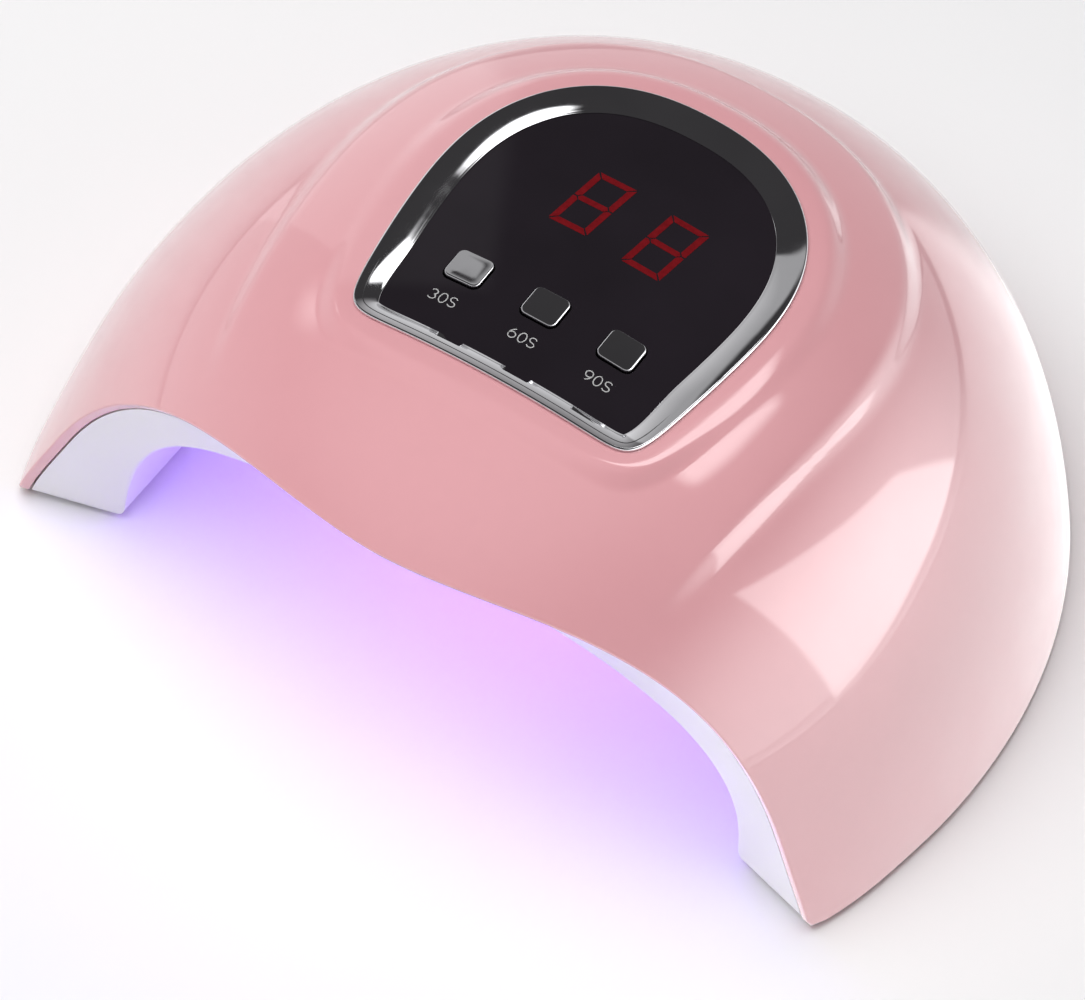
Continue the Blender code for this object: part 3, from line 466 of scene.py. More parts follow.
class Finish:
    """A procedural material; helper calls add nodes in object space, in metres."""

    def __init__(self, name):
        self.material = bpy.data.materials.new(name)
        self.material.use_nodes = True
        self.tree = self.material.node_tree
        self.shader = self.tree.nodes["Principled BSDF"]
        self.place = self.tree.nodes.new("ShaderNodeTexCoord").outputs["Object"]

    def link(self, source, target):
        self.tree.links.new(source, target)

    def noise(self, scale, detail=3.0, rough=0.5, stretch=(1.0, 1.0, 1.0)):
        node = self.tree.nodes.new("ShaderNodeTexNoise")
        node.inputs["Scale"].default_value = scale
        node.inputs["Detail"].default_value = detail
        node.inputs["Roughness"].default_value = rough
        mapping = self.tree.nodes.new("ShaderNodeMapping")
        mapping.inputs["Scale"].default_value = stretch
        self.link(self.place, mapping.inputs["Vector"])
        self.link(mapping.outputs["Vector"], node.inputs["Vector"])
        return node.outputs["Fac"]

    def cells(self, scale, feature="F1"):
        node = self.tree.nodes.new("ShaderNodeTexVoronoi")
        node.inputs["Scale"].default_value = scale
        node.feature = feature
        self.link(self.place, node.inputs["Vector"])
        return node.outputs["Distance"]

    def ramp(self, value, stops):
        return colour_ramp(self.tree, value, stops)

    def tone(self, value, dark, light):
        return self.ramp(value, [(0.3, dark), (0.7, light)])

    def spread(self, value, low, high):
        node = self.tree.nodes.new("ShaderNodeMapRange")
        node.inputs["From Min"].default_value = 0.3
        node.inputs["From Max"].default_value = 0.7
        node.inputs["To Min"].default_value = low
        node.inputs["To Max"].default_value = high
        self.link(value, node.inputs["Value"])
        return node.outputs["Result"]

    def mix(self, factor, a, b):
        node = self.tree.nodes.new("ShaderNodeMix")
        node.data_type = "RGBA"
        self.link(factor, node.inputs["Factor"])
        for socket, value in ((node.inputs[6], a), (node.inputs[7], b)):
            if isinstance(value, tuple):
                socket.default_value = (*value, 1.0)
            else:
                self.link(value, socket)
        return node.outputs[2]

    def bump(self, value, strength, depth):
        node = self.tree.nodes.new("ShaderNodeBump")
        node.inputs["Strength"].default_value = strength
        node.inputs["Distance"].default_value = depth
        self.link(value, node.inputs["Height"])
        previous = self.shader.inputs["Normal"].links
        if previous:
            self.link(previous[0].from_socket, node.inputs["Normal"])
        self.link(node.outputs["Normal"], self.shader.inputs["Normal"])

    def set(self, **values):
        for name, value in values.items():
            self.shader.inputs[name.replace("_", " ")].default_value = value

    def colour(self, output):
        self.link(output, self.shader.inputs["Base Color"])

    def roughness(self, value, low, high):
        self.link(self.spread(value, low, high), self.shader.inputs["Roughness"])


def shades(colour, amount):
    """Two versions of a colour, a little darker and a little lighter."""
    darker = tuple(c * (1.0 - amount) for c in colour)
    return darker, tuple(min(c * (1.0 + amount), 1.0) for c in colour)


def moulded_plastic(name, colour, rough, coat=0.0, peel=0.02, vary=0.03, coat_ior=1.5):
    """Injection-moulded plastic: faint tone drift, uneven gloss and orange peel."""
    finish = Finish(name)
    low, high = shades(colour, vary)
    broad = finish.ramp(finish.noise(9.0, 1.0), [(0.2, low), (0.8, high)])
    darker, lighter = shades(colour, 0.5 * vary)
    fine = finish.ramp(finish.noise(320.0, 1.0), [(0.2, darker), (0.8, lighter)])
    finish.colour(finish.mix(finish.noise(20.0, 1.0), broad, fine))
    finish.roughness(finish.noise(60.0, 4.0), rough * 0.85, rough * 1.25)
    finish.bump(finish.noise(230.0, 2.0), peel, 0.0004)
    finish.set(Coat_Weight=coat, Coat_Roughness=0.04, Coat_IOR=coat_ior, IOR=1.5)
    return finish


def make_gloss_black():
    finish = Finish("smoked black acrylic")
    finish.colour(finish.tone(finish.noise(30.0, 3.0), (0.0130, 0.0105, 0.0135), (0.0175, 0.0138, 0.0182)))
    finish.roughness(finish.cells(420.0), 0.020, 0.055)
    finish.bump(finish.noise(25.0, 1.0), 0.01, 0.0006)
    finish.set(IOR=1.45, Specular_IOR_Level=0.2)
    return finish.material


def plain_finish(name, tone, gloss, bump=None, glow=None):
    """Each setting is a noise scale and detail, then the two ends, or a bump's strength and depth."""
    finish = Finish(name)
    colour = finish.tone(finish.noise(*tone[:2]), *tone[2:])
    finish.colour(colour)
    finish.roughness(finish.noise(*gloss[:2]), *gloss[2:])
    if bump:
        finish.bump(finish.noise(*bump[:2]), *bump[2:])
    if glow:
        finish.link(colour, finish.shader.inputs["Emission Color"])
        finish.set(Emission_Strength=glow)
    return finish


def make_chrome():
    tone = (40.0, 3.0, (0.70, 0.70, 0.72), (0.80, 0.80, 0.82))
    bump = (90.0, 2.0, 0.03, 0.0005)
    finish = plain_finish("vacuum plated chrome", tone, (300.0, 4.0, 0.035, 0.075), bump)
    finish.set(Metallic=1.0)
    return finish.material


def make_segment_red_painted_glow():
    """A display segment that is switched off, given a faint painted glow in its own red so that the digits
    show.
    """
    tone = (900.0, 2.0, (0.105, 0.0035, 0.0055), (0.135, 0.0050, 0.0075))
    # glow=0.22 is a painted glow: the switched-off segment emits its own red although it is no lamp
    return plain_finish("unlit display segment with painted glow", tone, (500.0, 3.0, 0.06, 0.12), glow=0.22).material


def make_label_print():
    tone = (2500.0, 2.0, (0.36, 0.36, 0.36), (0.48, 0.48, 0.48))
    return plain_finish("pale grey screen print", tone, (1800.0, 3.0, 0.4, 0.6)).material


def make_lens():
    tone = (350.0, 2.0, (0.42, 0.26, 0.95), (0.62, 0.44, 1.0))
    finish = plain_finish("violet LED lens", tone, (500.0, 3.0, 0.08, 0.16), glow=2.6)
    finish.set(IOR=1.45)
    return finish.material


def make_board(name, colour, trace):
    """Solder mask over copper: long rows of traces with pads between them."""
    finish = Finish(name)
    brick = finish.tree.nodes.new("ShaderNodeTexBrick")
    brick.inputs["Scale"].default_value = 260.0
    brick.inputs["Mortar Size"].default_value = 0.06
    brick.inputs["Color1"].default_value = (*colour, 1.0)
    brick.inputs["Color2"].default_value = (*shades(colour, 0.12)[0], 1.0)
    brick.inputs["Mortar"].default_value = (*trace, 1.0)
    finish.link(finish.place, brick.inputs["Vector"])
    speck = finish.ramp(finish.noise(1200.0, 3.0), [(0.35, shades(colour, 0.2)[0]), (0.7, colour)])
    finish.colour(finish.mix(finish.noise(90.0), brick.outputs["Color"], speck))
    finish.roughness(finish.noise(400.0), 0.32, 0.5)
    finish.bump(brick.outputs["Fac"], 0.2, 0.0001)
    return finish.material


def make_rubber():
    tone = (400.0, 5.0, (0.11, 0.11, 0.115), (0.18, 0.18, 0.185))
    bump = (1400.0, 4.0, 0.25, 0.0002)
    return plain_finish("grey moulded rubber", tone, (700.0, 3.0, 0.7, 0.92), bump).material


def make_steel():
    finish = Finish("zinc plated steel")
    streak = finish.noise(500.0, 4.0, 0.6, (1.0, 1.0, 9.0))
    finish.colour(finish.tone(streak, (0.44, 0.45, 0.47), (0.62, 0.63, 0.66)))
    finish.roughness(streak, 0.22, 0.42)
    finish.bump(streak, 0.06, 0.0001)
    finish.set(Metallic=1.0)
    return finish.material


def make_black_part():
    finish = moulded_plastic("black moulded component", (0.022, 0.022, 0.024), 0.42, 0.0, 0.0, 0.2)
    finish.bump(finish.cells(2600.0), 0.12, 0.0001)
    return finish.material


# the pink's base is rough enough all over to leave no hard patches under its clear coat
PINK = moulded_plastic("glossy pink plastic", (0.71, 0.342, 0.370), 0.34, 1.0, 0.006, 0.02, 1.8)
WHITE = moulded_plastic("satin white plastic", (0.83, 0.83, 0.835), 0.36, 0.0, 0.05, 0.015)
RED = moulded_plastic("red wire insulation", (0.42, 0.025, 0.025), 0.42, 0.0, 0.08, 0.12)

MATERIALS = {
    "pink_shell": PINK.material,
    "white_liner": WHITE.material,
    "chrome_trim": make_chrome(),
    "black_panel": make_gloss_black(),
    "display_red": make_segment_red_painted_glow(),
    "led_lens": make_lens(),
    "white_board": make_board("white flexible board", (0.72, 0.73, 0.71), (0.58, 0.55, 0.44)),
    "green_board": make_board("green circuit board", (0.015, 0.13, 0.05), (0.05, 0.22, 0.09)),
    "grey_rubber": make_rubber(),
    "plated_steel": make_steel(),
    "red_wire": RED.material,
    "black_part": make_black_part(),
}
LABEL_PRINT = make_label_print()


# ---------------- mesh helpers

def place_object(name, data):
    obj = bpy.data.objects.new(name, data)
    bpy.context.scene.collection.objects.link(obj)
    return obj


def make_piece(name, vertices, faces, material, smooth=35.0):
    """Vertices are millimetres in the frame's axes."""
    mesh = bpy.data.meshes.new(name)
    mesh.from_pydata([tuple(v) for v in np.asarray(vertices, dtype=float) * MM], [], faces)
    build = bmesh.new()
    build.from_mesh(mesh)
    bmesh.ops.recalc_face_normals(build, faces=build.faces)
    build.to_mesh(mesh)
    build.free()
    mesh.shade_smooth()
    mesh.set_sharp_from_angle(angle=math.radians(smooth))
    if material:
        mesh.materials.append(material)
    return place_object(name, mesh)


def finish_piece(obj, slot, *nodes, body="housing"):
    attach(obj, body)
    if nodes:
        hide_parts(*nodes)


def wrap_faces(rings, around, ends=True, loop=False):
    """Quads between successive rings; loop joins the last ring to the first."""
    faces = []
    for ring in range(rings if loop else rings - 1):
        following = (ring + 1) % rings
        for step in range(around):
            right = (step + 1) % around
            faces.append((ring * around + step, ring * around + right,
                          following * around + right, following * around + step))
    if ends and not loop:
        faces.append(tuple(range(around)))
        faces.append(tuple(reversed(range((rings - 1) * around, rings * around))))
    return faces


def turned_parts(profile, centre, axis=(0.0, 0.0, 1.0), sides=40):
    """Vertices and faces of a closed turned form; profile is (radius, height)."""
    turn = Vector((0.0, 0.0, 1.0)).rotation_difference(Vector(axis)).to_matrix()
    vertices = []
    for radius, height in profile:
        for step in range(sides):
            angle = 2.0 * math.pi * (step + 0.5) / sides
            point = Vector((radius * math.cos(angle), radius * math.sin(angle), height))
            vertices.append(tuple(turn @ point + Vector(centre)))
    return vertices, wrap_faces(len(profile), sides)


def drill(radius, low, high, centre, axis=(0.0, 0.0, 1.0), sides=32):
    """The closed cylinder that cuts a round hole."""
    return turned_parts([(radius, low), (radius, high)], centre, axis, sides)


def turned(name, profile, material, centre, axis=(0.0, 0.0, 1.0), sides=40, smooth=35.0):
    vertices, faces = turned_parts(profile, centre, axis, sides)
    return make_piece(name, vertices, faces, material, smooth)


def rounded_rectangle(width, depth, corner, steps=6):
    points = []
    for quarter, (sx, sy) in enumerate(((1, 1), (-1, 1), (-1, -1), (1, -1))):
        for step in range(steps + 1):
            angle = math.radians(90.0 * (quarter + step / steps))
            points.append((sx * (width / 2 - corner) + corner * math.cos(angle),
                           sy * (depth / 2 - corner) + corner * math.sin(angle)))
    return points


def block_parts(width, depth, bottom, top, centre=(0.0, 0.0), corner=0.4, steps=4):
    outline = rounded_rectangle(width, depth, corner, steps)
    vertices = [(x + centre[0], y + centre[1], z) for z in (bottom, top) for x, y in outline]
    return vertices, wrap_faces(2, len(outline))


def merged(parts):
    """One vertex and face list from several closed forms."""
    vertices = []
    faces = []
    for part_vertices, part_faces in parts:
        start = len(vertices)
        vertices.extend(tuple(v) for v in part_vertices)
        faces.extend(tuple(v + start for v in face) for face in part_faces)
    return vertices, faces


def cut(target, parts, smooth=35.0):
    """Remove closed forms from a piece and keep the result as plain mesh."""
    tool = make_piece("tool", *merged(parts), None)
    modifier = target.modifiers.new("Cut", "BOOLEAN")
    modifier.operation = "DIFFERENCE"
    modifier.object = tool
    modifier.solver = "EXACT"
    graph = bpy.context.evaluated_depsgraph_get()
    result = bpy.data.meshes.new_from_object(target.evaluated_get(graph))
    target.modifiers.clear()
    target.data = result
    result.set_sharp_from_angle(angle=math.radians(smooth))
    bpy.data.objects.remove(tool)


# ---------------- shell

def edge_fillet(points, outward, away, thickness):
    """Rings that turn from a sheet's outer face round its edge to its inner face."""
    rings = []
    for depth, start in ((EDGE_RADIUS, 0.0), (thickness - EDGE_RADIUS, 90.0)):
        core = points - outward * depth - away * EDGE_RADIUS
        for turn in np.radians(np.linspace(start, start + 90.0, 5)):
            rings.append(core + EDGE_RADIUS * (outward * math.cos(turn) + away * math.sin(turn)))
    return rings


def shell_surface(rim):
    origin = np.array(SHELL_MIDDLE)
    outline, inward = bezel_base(len(rim))
    hole = outline + inward * HOLE_INSET
    inner = np.column_stack([hole, bezel_top(hole[:, 0], hole[:, 1]) - PLATEAU_DROP])
    shares = np.linspace(0.0, 1.0, SHELL_RINGS + 1) ** 1.1
    rings = [march(shell_level, origin, swing(origin, inner, rim, share)) for share in shares]
    rings[-1] = rim
    return rings


def fixing_columns():
    """Where the CAD puts its screws and feet: middles of the flange at CAD columns."""
    rim = rim_loop(CAD_LIP_COLUMNS, CAD_GROUND_COLUMNS)
    floor = liner_floor(rim, CAD_LIP_COLUMNS, CAD_GROUND_COLUMNS)
    count = len(rim)
    near = CAD_LIP_COLUMNS + 3
    far = CAD_LIP_COLUMNS + 10
    middle = 0.5 * (rim + floor)
    screws = [tuple(middle[i, :2]) for i in (near, far, count - far, count - near)]
    feet = [tuple(middle[i, :2]) for i in (near - 2, far + 2, count - far - 2, count - near + 2)]
    return screws, feet


def boss_parts(centre):
    """A hollow post from the shell's inside down to the liner's flange."""
    sides = 24
    bottom = LINER_FLOOR_Z + LINER_THICKNESS + GAP
    bore, outside = BOSS_RADII
    rings = []
    for radius, level in ((bore, BOSS_HOLE_TOP), (bore, bottom), (outside, bottom), (outside, None)):
        ring = []
        for step in range(sides):
            angle = 2.0 * math.pi * step / sides
            x = centre[0] + radius * math.cos(angle)
            y = centre[1] + radius * math.sin(angle)
            top = dome_top(np.array(x), np.array(y))
            upright = max(abs(float(normals_of(shell_level, np.array([[x, y, top]]))[0, 2])), 0.1)
            ring.append((x, y, float(top) - 0.5 * SHELL_THICKNESS / upright if level is None else level))
        rings.extend(ring)
    return rings, wrap_faces(4, sides)


def make_shell(rim, screws):
    outer = shell_surface(rim)
    last = outer[-2]
    normal = normals_of(shell_level, rim)
    away = rim - last
    away = unit(away - normal * np.sum(away * normal, axis=1, keepdims=True))
    outer[-1] = rim - away * EDGE_RADIUS
    inner = [ring - normals_of(shell_level, ring) * SHELL_THICKNESS for ring in outer]
    inner_rings = inner[:-1]
    for ring in inner_rings:
        ring[:, 2] = np.maximum(ring[:, 2], RIM_Z)
    rings = outer[:-1] + edge_fillet(rim, normal, away, SHELL_THICKNESS) + inner_rings[::-1]
    vertices = np.vstack(rings)
    faces = wrap_faces(len(rings), len(rim), loop=True)
    shell = make_piece("shell_skin", vertices, faces, MATERIALS["pink_shell"], 50.0)
    cut(shell, [drill(INLET_HOLE_RADIUS, -12.0, 12.0, inlet_centre(), (0.0, 1.0, 0.0), 48)], 50.0)
    bosses = make_piece("shell_bosses", *merged([boss_parts(c) for c in screws]), MATERIALS["pink_shell"])
    finish_piece(bosses, "pink_shell")
    finish_piece(shell, "pink_shell", "outer_shell")


# ---------------- liner

def make_liner(rim, screws):
    """Flange inside the shell's rim, a rolled corner, then the wall up to the roof."""
    floor = liner_floor(rim, LIP_COLUMNS, GROUND_COLUMNS)
    inward = normals_of(shell_level, rim) * (SHELL_THICKNESS + EDGE_CLEARANCE)
    edge = rim - inward
    column = np.minimum(np.arange(len(rim)), len(rim) - np.arange(len(rim)))
    lip = column <= LIP_COLUMNS
    edge[lip, 1] = rim[lip, 1] + LIP_RECESS + 0.25 * np.abs(inward[lip, 1])
    edge[:, 2] = np.where(lip, np.maximum(edge[:, 2], LINER_FLOOR_Z), LINER_FLOOR_Z)
    origin = np.array(LINER_MIDDLE)
    roof = origin + np.array([0.0, 0.0, LINER_HEIGHT])
    rings = [edge + (floor - edge) * share for share in np.linspace(0.0, FLANGE_SHARE, 12)]
    first = march(liner_level, origin, swing(origin, floor, roof, WALL_SHARES[0]))
    flange_end = rings[-1]
    for t in np.linspace(0.0, 1.0, 6)[1:-1]:
        rings.append((1 - t) ** 2 * flange_end + 2 * t * (1 - t) * floor + t ** 2 * first)
    for share in np.linspace(*WALL_SHARES, LINER_RINGS):
        rings.append(march(liner_level, origin, swing(origin, floor, roof, share)))
    sheet = np.array(rings)
    across = np.gradient(sheet, axis=0)
    along = np.roll(sheet, -1, axis=1) - np.roll(sheet, 1, axis=1)
    outward = unit(np.cross(across, along))
    outward *= math.copysign(1.0, float(outward[len(rings) // 2, 0, 2]))
    back = sheet + outward * LINER_THICKNESS
    count = len(rim)
    total = len(rings)
    vertices = np.vstack([sheet.reshape(-1, 3), back.reshape(-1, 3)])
    front_faces = wrap_faces(total, count, ends=False)
    shift = total * count
    faces = front_faces + [tuple(v + shift for v in reversed(face)) for face in front_faces]
    for step in range(count):
        right = (step + 1) % count
        faces.append((right, step, shift + step, shift + right))
    roof_ring = range(shift - count, shift)
    faces.append(tuple(roof_ring))
    faces.append(tuple(v + shift for v in reversed(roof_ring)))
    liner = make_piece("liner_skin", vertices, faces, MATERIALS["white_liner"], 50.0)
    holes = []
    for _, y in STRIP_STATIONS:
        for angle in BEAD_ANGLES:
            point, normal = bead_place(angle, y)
            holes.append(drill(BEAD_HOLE_RADIUS, -2.0, 4.0, tuple(point), tuple(normal)))
    for centre in screws:
        holes.append(drill(SCREW_HOLE_RADIUS, 0.5, 6.0, (*centre, 0.0), sides=24))
    holes.append(drill(SENSOR_HOLE_RADIUS, -3.0, 5.0, sensor_place()))
    cut(liner, holes, 50.0)
    finish_piece(liner, "white_liner", "inner_liner")


def bead_place(angle, y):
    point = arch_point(angle, y)
    return point, normals_of(liner_level, point[None])[0]


def dome_profile(radius, rise, base):
    """A low dome that bulges downwards from its base, as (radius, height) steps."""
    turns = np.radians(np.linspace(84.0, 0.0, 9))
    return [(radius * math.cos(t), base - rise * math.sin(t)) for t in turns]


def make_beads():
    """Domed lenses on a square-shouldered base, one in each hole of the liner."""
    shoulder = [(2.75, 0.1), (3.1, 0.2), (BEAD_RADIUS, 0.32), (BEAD_RADIUS, LINER_THICKNESS + 0.1)]
    profile = dome_profile(2.55, 1.25, 0.1) + shoulder
    for station, y in STRIP_STATIONS:
        for index, angle in enumerate(BEAD_ANGLES):
            point, normal = bead_place(angle, y)
            lens = turned(f"led_lens_{station}_{index + 1}", profile, MATERIALS["led_lens"],
                          tuple(point), tuple(normal), 28)
            finish_piece(lens, "led_lens", f"led_bead_{station}_{index + 1}")


# ---------------- bezel and panel

def make_bezel():
    """A plated ring: a rolled outer edge, a cove falling inwards and a skirt below."""
    around = 300
    outline, inward = bezel_base(around)
    width = 1.16 - 0.19 * smooth_step(-outline[:, 1], 36.0, 52.0)
    profile = [(0.0, 0.62), (0.0, 0.40)]
    turns = np.radians((20, 40, 60, 80))
    profile += [(0.34 - 0.34 * math.cos(t), 0.36 - 0.34 * math.sin(t)) for t in turns]
    profile += [(0.34 + 4.7 * t, 0.02 + 1.66 * t + 0.56 * t * t) for t in np.linspace(0.0, 1.0, 12)]
    profile += [(5.16, 2.29), (5.22, 2.33), (5.26, 2.37), (5.1, 2.42)]
    hidden = [(3.1, 2.42), (3.1, 5.0), (2.0, 5.0), (2.0, 0.62)]
    rings = []
    for index, (inset, drop) in enumerate(profile + hidden):
        scale = width if index < len(profile) else np.ones(around)
        flat = outline + inward * (inset * scale)[:, None]
        rings.append(np.column_stack([flat, bezel_top(flat[:, 0], flat[:, 1]) - drop]))
    faces = wrap_faces(len(rings), around, loop=True)
    ring = make_piece("bezel_chrome", np.vstack(rings), faces, MATERIALS["chrome_trim"], 22.0)
    slot_y = SHIELD_Y - BEZEL_SHIELD[2] + CLIP_SLOT_INSET
    slots = []
    for low, high in CLIP_SLOTS:
        middle = (0.5 * (low + high), slot_y)
        slots.append(block_parts(high - low, CLIP_SLOT_DEPTH, BEZEL_TOP_Z - 4.6, BEZEL_TOP_Z, middle, 0.35))
    cut(ring, slots, 22.0)
    finish_piece(ring, "chrome_trim", "bezel_ring")


def make_panel():
    around = 220
    outline, inward = bezel_base(around)
    centre = np.array([0.0, SHIELD_Y])
    edge = outline + inward * PANEL_INSET
    levels = [(0.0, PANEL_THICKNESS), (0.0, 0.15), (0.15, 0.0)]
    rings = []
    for inset, drop in levels:
        flat = edge + inward * inset
        rings.append(np.column_stack([flat, panel_top(flat[:, 0], flat[:, 1]) - drop]))
    for share in np.linspace(0.0, 0.96, 24)[1:]:
        flat = edge + inward * 0.15
        flat = flat + (centre - flat) * share
        rings.append(np.column_stack([flat, panel_top(flat[:, 0], flat[:, 1])]))
    faces = wrap_faces(len(rings), around)
    panel = make_piece("panel_gloss", np.vstack(rings), faces, MATERIALS["black_panel"], 40.0)
    holes = []
    for x in (-BUTTON_SPACING, 0.0, BUTTON_SPACING):
        width, depth = (size + 2 * GAP for size in CAP_SIZE)
        holes.append(block_parts(width, depth, 80.0, 96.0, (x, BUTTON_Y), CAP_CORNER + GAP, 8))
    cut(panel, holes, 40.0)
    finish_piece(panel, "black_panel", "display_panel")


def plate_parts(points, bottom, top):
    """A thin closed plate over the panel, from its outline in plan."""
    vertices = [(x, y, float(panel_top(x, y)) + height) for height in (bottom, top) for x, y in points]
    return vertices, wrap_faces(2, len(points))


def digit_parts(centre):
    """Seven mitred segments of a slanted digit."""
    half, tall, bar, gap, slant = 4.4, 8.15, 1.4, 0.17, 0.115
    long_top = [(-half + 1.6 * gap, tall), (half - 1.6 * gap, tall),
                (half - bar - gap, tall - bar), (-half + bar + gap, tall - bar)]
    upper_left = [(-half, tall - 1.6 * gap), (-half, 1.4 * gap), (-half + bar / 2, gap),
                  (-half + bar, bar / 2 + gap), (-half + bar, tall - bar - gap)]
    middle = [(-half + bar / 2 + 1.6 * gap, 0.0), (-half + bar + gap, bar / 2), (half - bar - gap, bar / 2),
              (half - bar / 2 - 1.6 * gap, 0.0), (half - bar - gap, -bar / 2), (-half + bar + gap, -bar / 2)]
    shapes = [long_top, [(x, -y) for x, y in long_top][::-1], middle, upper_left,
              [(-x, y) for x, y in upper_left][::-1], [(x, -y) for x, y in upper_left][::-1],
              [(-x, -y) for x, y in upper_left]]
    parts = []
    for shape in shapes:
        placed = [(centre[0] + x + slant * y, centre[1] + y) for x, y in shape]
        parts.append(plate_parts(placed, -0.05, 0.10))
    return parts


def arc(cx, cy, rx, ry, start, end, steps=16):
    angles = np.radians(np.linspace(start, end, steps))
    return [(cx + rx * math.cos(a), cy + ry * math.sin(a)) for a in angles]


def glyph(letter):
    """Stroke of a plain numeral, in a cell 1.6 wide and 2.4 tall."""
    if letter == "0":
        return arc(0.0, 0.0, 0.78, 1.2, 90.0, 450.0, 36)
    if letter == "3":
        return arc(-0.1, 0.6, 0.72, 0.6, 150.0, -80.0) + arc(-0.1, -0.58, 0.8, 0.62, 80.0, -150.0)
    if letter == "6":
        return arc(0.72, -0.45, 1.5, 1.65, 108.0, 180.0, 10) + arc(0.0, -0.45, 0.78, 0.75, 180.0, 540.0, 30)
    if letter == "9":
        return [(-x, -y) for x, y in glyph("6")]
    return arc(0.0, 0.6, 0.7, 0.6, 25.0, 250.0) + arc(0.0, -0.6, 0.74, 0.6, 70.0, -155.0)


def stroke_parts(points, width, bottom, top):
    """A closed ribbon of even width along a polyline."""
    path = np.array(points)
    tangent = unit(np.gradient(path, axis=0) + 1e-9)
    side = np.stack([-tangent[:, 1], tangent[:, 0]], axis=1) * width / 2
    vertices = []
    for place, offset in zip(path, side):
        for corner, height in ((place - offset, bottom), (place + offset, bottom),
                               (place + offset, top), (place - offset, top)):
            vertices.append((*corner, float(panel_top(*corner)) + height))
    return vertices, wrap_faces(len(path), 4)


def make_display():
    for side, centre in DIGIT_CENTRES.items():
        vertices, faces = merged(digit_parts(centre))
        digit = make_piece(f"display_digit_{side}", vertices, faces, MATERIALS["display_red"], 30.0)
        finish_piece(digit, "display_red")
    for name, x in zip(BUTTON_NAMES, LABEL_X):
        parts = []
        for index, letter in enumerate(name.upper()):
            shift = x + LABEL_PITCH * (index - 1)
            outline = [(shift + LABEL_SIZE * px, LABEL_Y + py) for px, py in glyph(letter)]
            parts.append(stroke_parts(outline, LABEL_STROKE, -0.04, 0.03))
        label = make_piece(f"label_{name}", *merged(parts), LABEL_PRINT, 30.0)
        finish_piece(label, "white_liner")


def make_button(name, x):
    """Chrome cap with a rolled edge, its flange under the panel and its stem."""
    top = float(panel_top(x, BUTTON_Y))
    under = top - PANEL_THICKNESS - 1.0
    width, depth = CAP_SIZE
    crest = top + CAP_PROUD
    stem_width, stem_depth, _, stem_corner = CAP_STEM
    flange = (width + CAP_FLANGE, depth + CAP_FLANGE)
    face = (width - CAP_FACE_INSET, depth - CAP_FACE_INSET)
    face_corner = CAP_CORNER - 0.4
    levels = [CAP_STEM, (stem_width, stem_depth, under - 1.0, stem_corner),
              (*flange, under - 1.0, 1.6), (*flange, under, 1.6),
              (width, depth, under, CAP_CORNER), (width, depth, crest - CAP_ROLL, CAP_CORNER)]
    for t in np.radians(np.linspace(12.0, 66.0, 5)):
        roll = CAP_ROLL * (1.0 - math.cos(t))
        height = crest - CAP_ROLL + CAP_ROLL * math.sin(t)
        levels.append((width - 2 * roll, depth - 2 * roll, height, CAP_CORNER - roll))
    levels.append((*face, crest - 0.05, face_corner))
    for share in (0.8, 0.55, 0.3, 0.1):
        levels.append((share * face[0], share * face[1], crest - 0.03, share * face_corner))
    steps = 6
    vertices = []
    for level_width, level_depth, height, corner in levels:
        for px, py in rounded_rectangle(level_width, level_depth, corner, steps):
            lean = float(panel_top(x + px, BUTTON_Y + py)) - top if height > under else 0.0
            vertices.append((x + px, BUTTON_Y + py, height + lean))
    around = len(rounded_rectangle(1.0, 1.0, 0.1, steps))
    faces = wrap_faces(len(levels), around)
    cap = make_piece(f"cap_{name}", vertices, faces, MATERIALS["chrome_trim"], 28.0)
    finish_piece(cap, "chrome_trim", f"button_cap_{name}", body=f"button_{name}")


# ---------------- fixings

def make_inlet():
    """A barrel socket with a chamfered mouth and a centre pin."""
    x, y, z = inlet_centre()
    body = [(4.4, -13.0), (4.4, -5.0), (5.2, -5.0), (5.2, 0.0), (4.85, 0.4), (3.5, 0.4)]
    body += [(3.1, 0.0), (3.1, -10.0), (1.0, -10.0), (1.0, -2.0), (0.7, -1.5), (0.1, -1.4)]
    inlet = turned("inlet_socket", body, MATERIALS["black_part"], (x, y, z), (0.0, 1.0, 0.0), 48)
    finish_piece(inlet, "black_part", "dc_inlet")


def make_screws(screws):
    top = LINER_FLOOR_Z - GAP
    for index, centre in enumerate(screws):
        head = [(0.2, 0.42), (1.2, 0.44), (2.0, 0.56), (2.5, 0.8), (2.7, 1.05), (2.7, top), (1.3, top)]
        thread = []
        for turn in range(SCREW_TURNS):
            height = top + 0.6 + turn * SCREW_PITCH
            thread += [(1.05, height), (1.3, height + 0.55)]
        profile = head + thread + [(0.9, 18.6), (0.2, 19.5)]
        screw = turned(f"screw_{index + 1}", profile, MATERIALS["plated_steel"], (*centre, 0.0),
                       sides=32, smooth=25.0)
        for width, depth in ((2.6, 0.62), (0.62, 2.6)):
            cut(screw, [block_parts(width, depth, 0.0, 1.25, centre, 0.1, 2)], 25.0)
        finish_piece(screw, "plated_steel", f"shell_screw_{index + 1}")


def make_feet(feet):
    top = LINER_FLOOR_Z - GAP
    for index, centre in enumerate(feet):
        profile = [(0.2, 0.25), (2.6, 0.25), (2.8, 0.05), (3.0, 0.0), (4.3, 0.0), (4.75, 0.15)]
        profile += [(FOOT_RADIUS, 0.5), (FOOT_RADIUS, top)]
        foot = turned(f"foot_pad_{index + 1}", profile, MATERIALS["grey_rubber"], (*centre, 0.0), sides=44)
        finish_piece(foot, "grey_rubber", f"foot_{index + 1}")


def make_sensor():
    x, y, z = sensor_place()
    base = z + LINER_THICKNESS + 0.6
    profile = dome_profile(2.3, 1.05, z + 0.15) + [(2.5, z + 0.3), (2.5, base - GAP)]
    sensor = turned("ir_window", profile, MATERIALS["black_panel"], (x, y, 0.0), sides=32)
    finish_piece(sensor, "black_part", "ir_sensor")


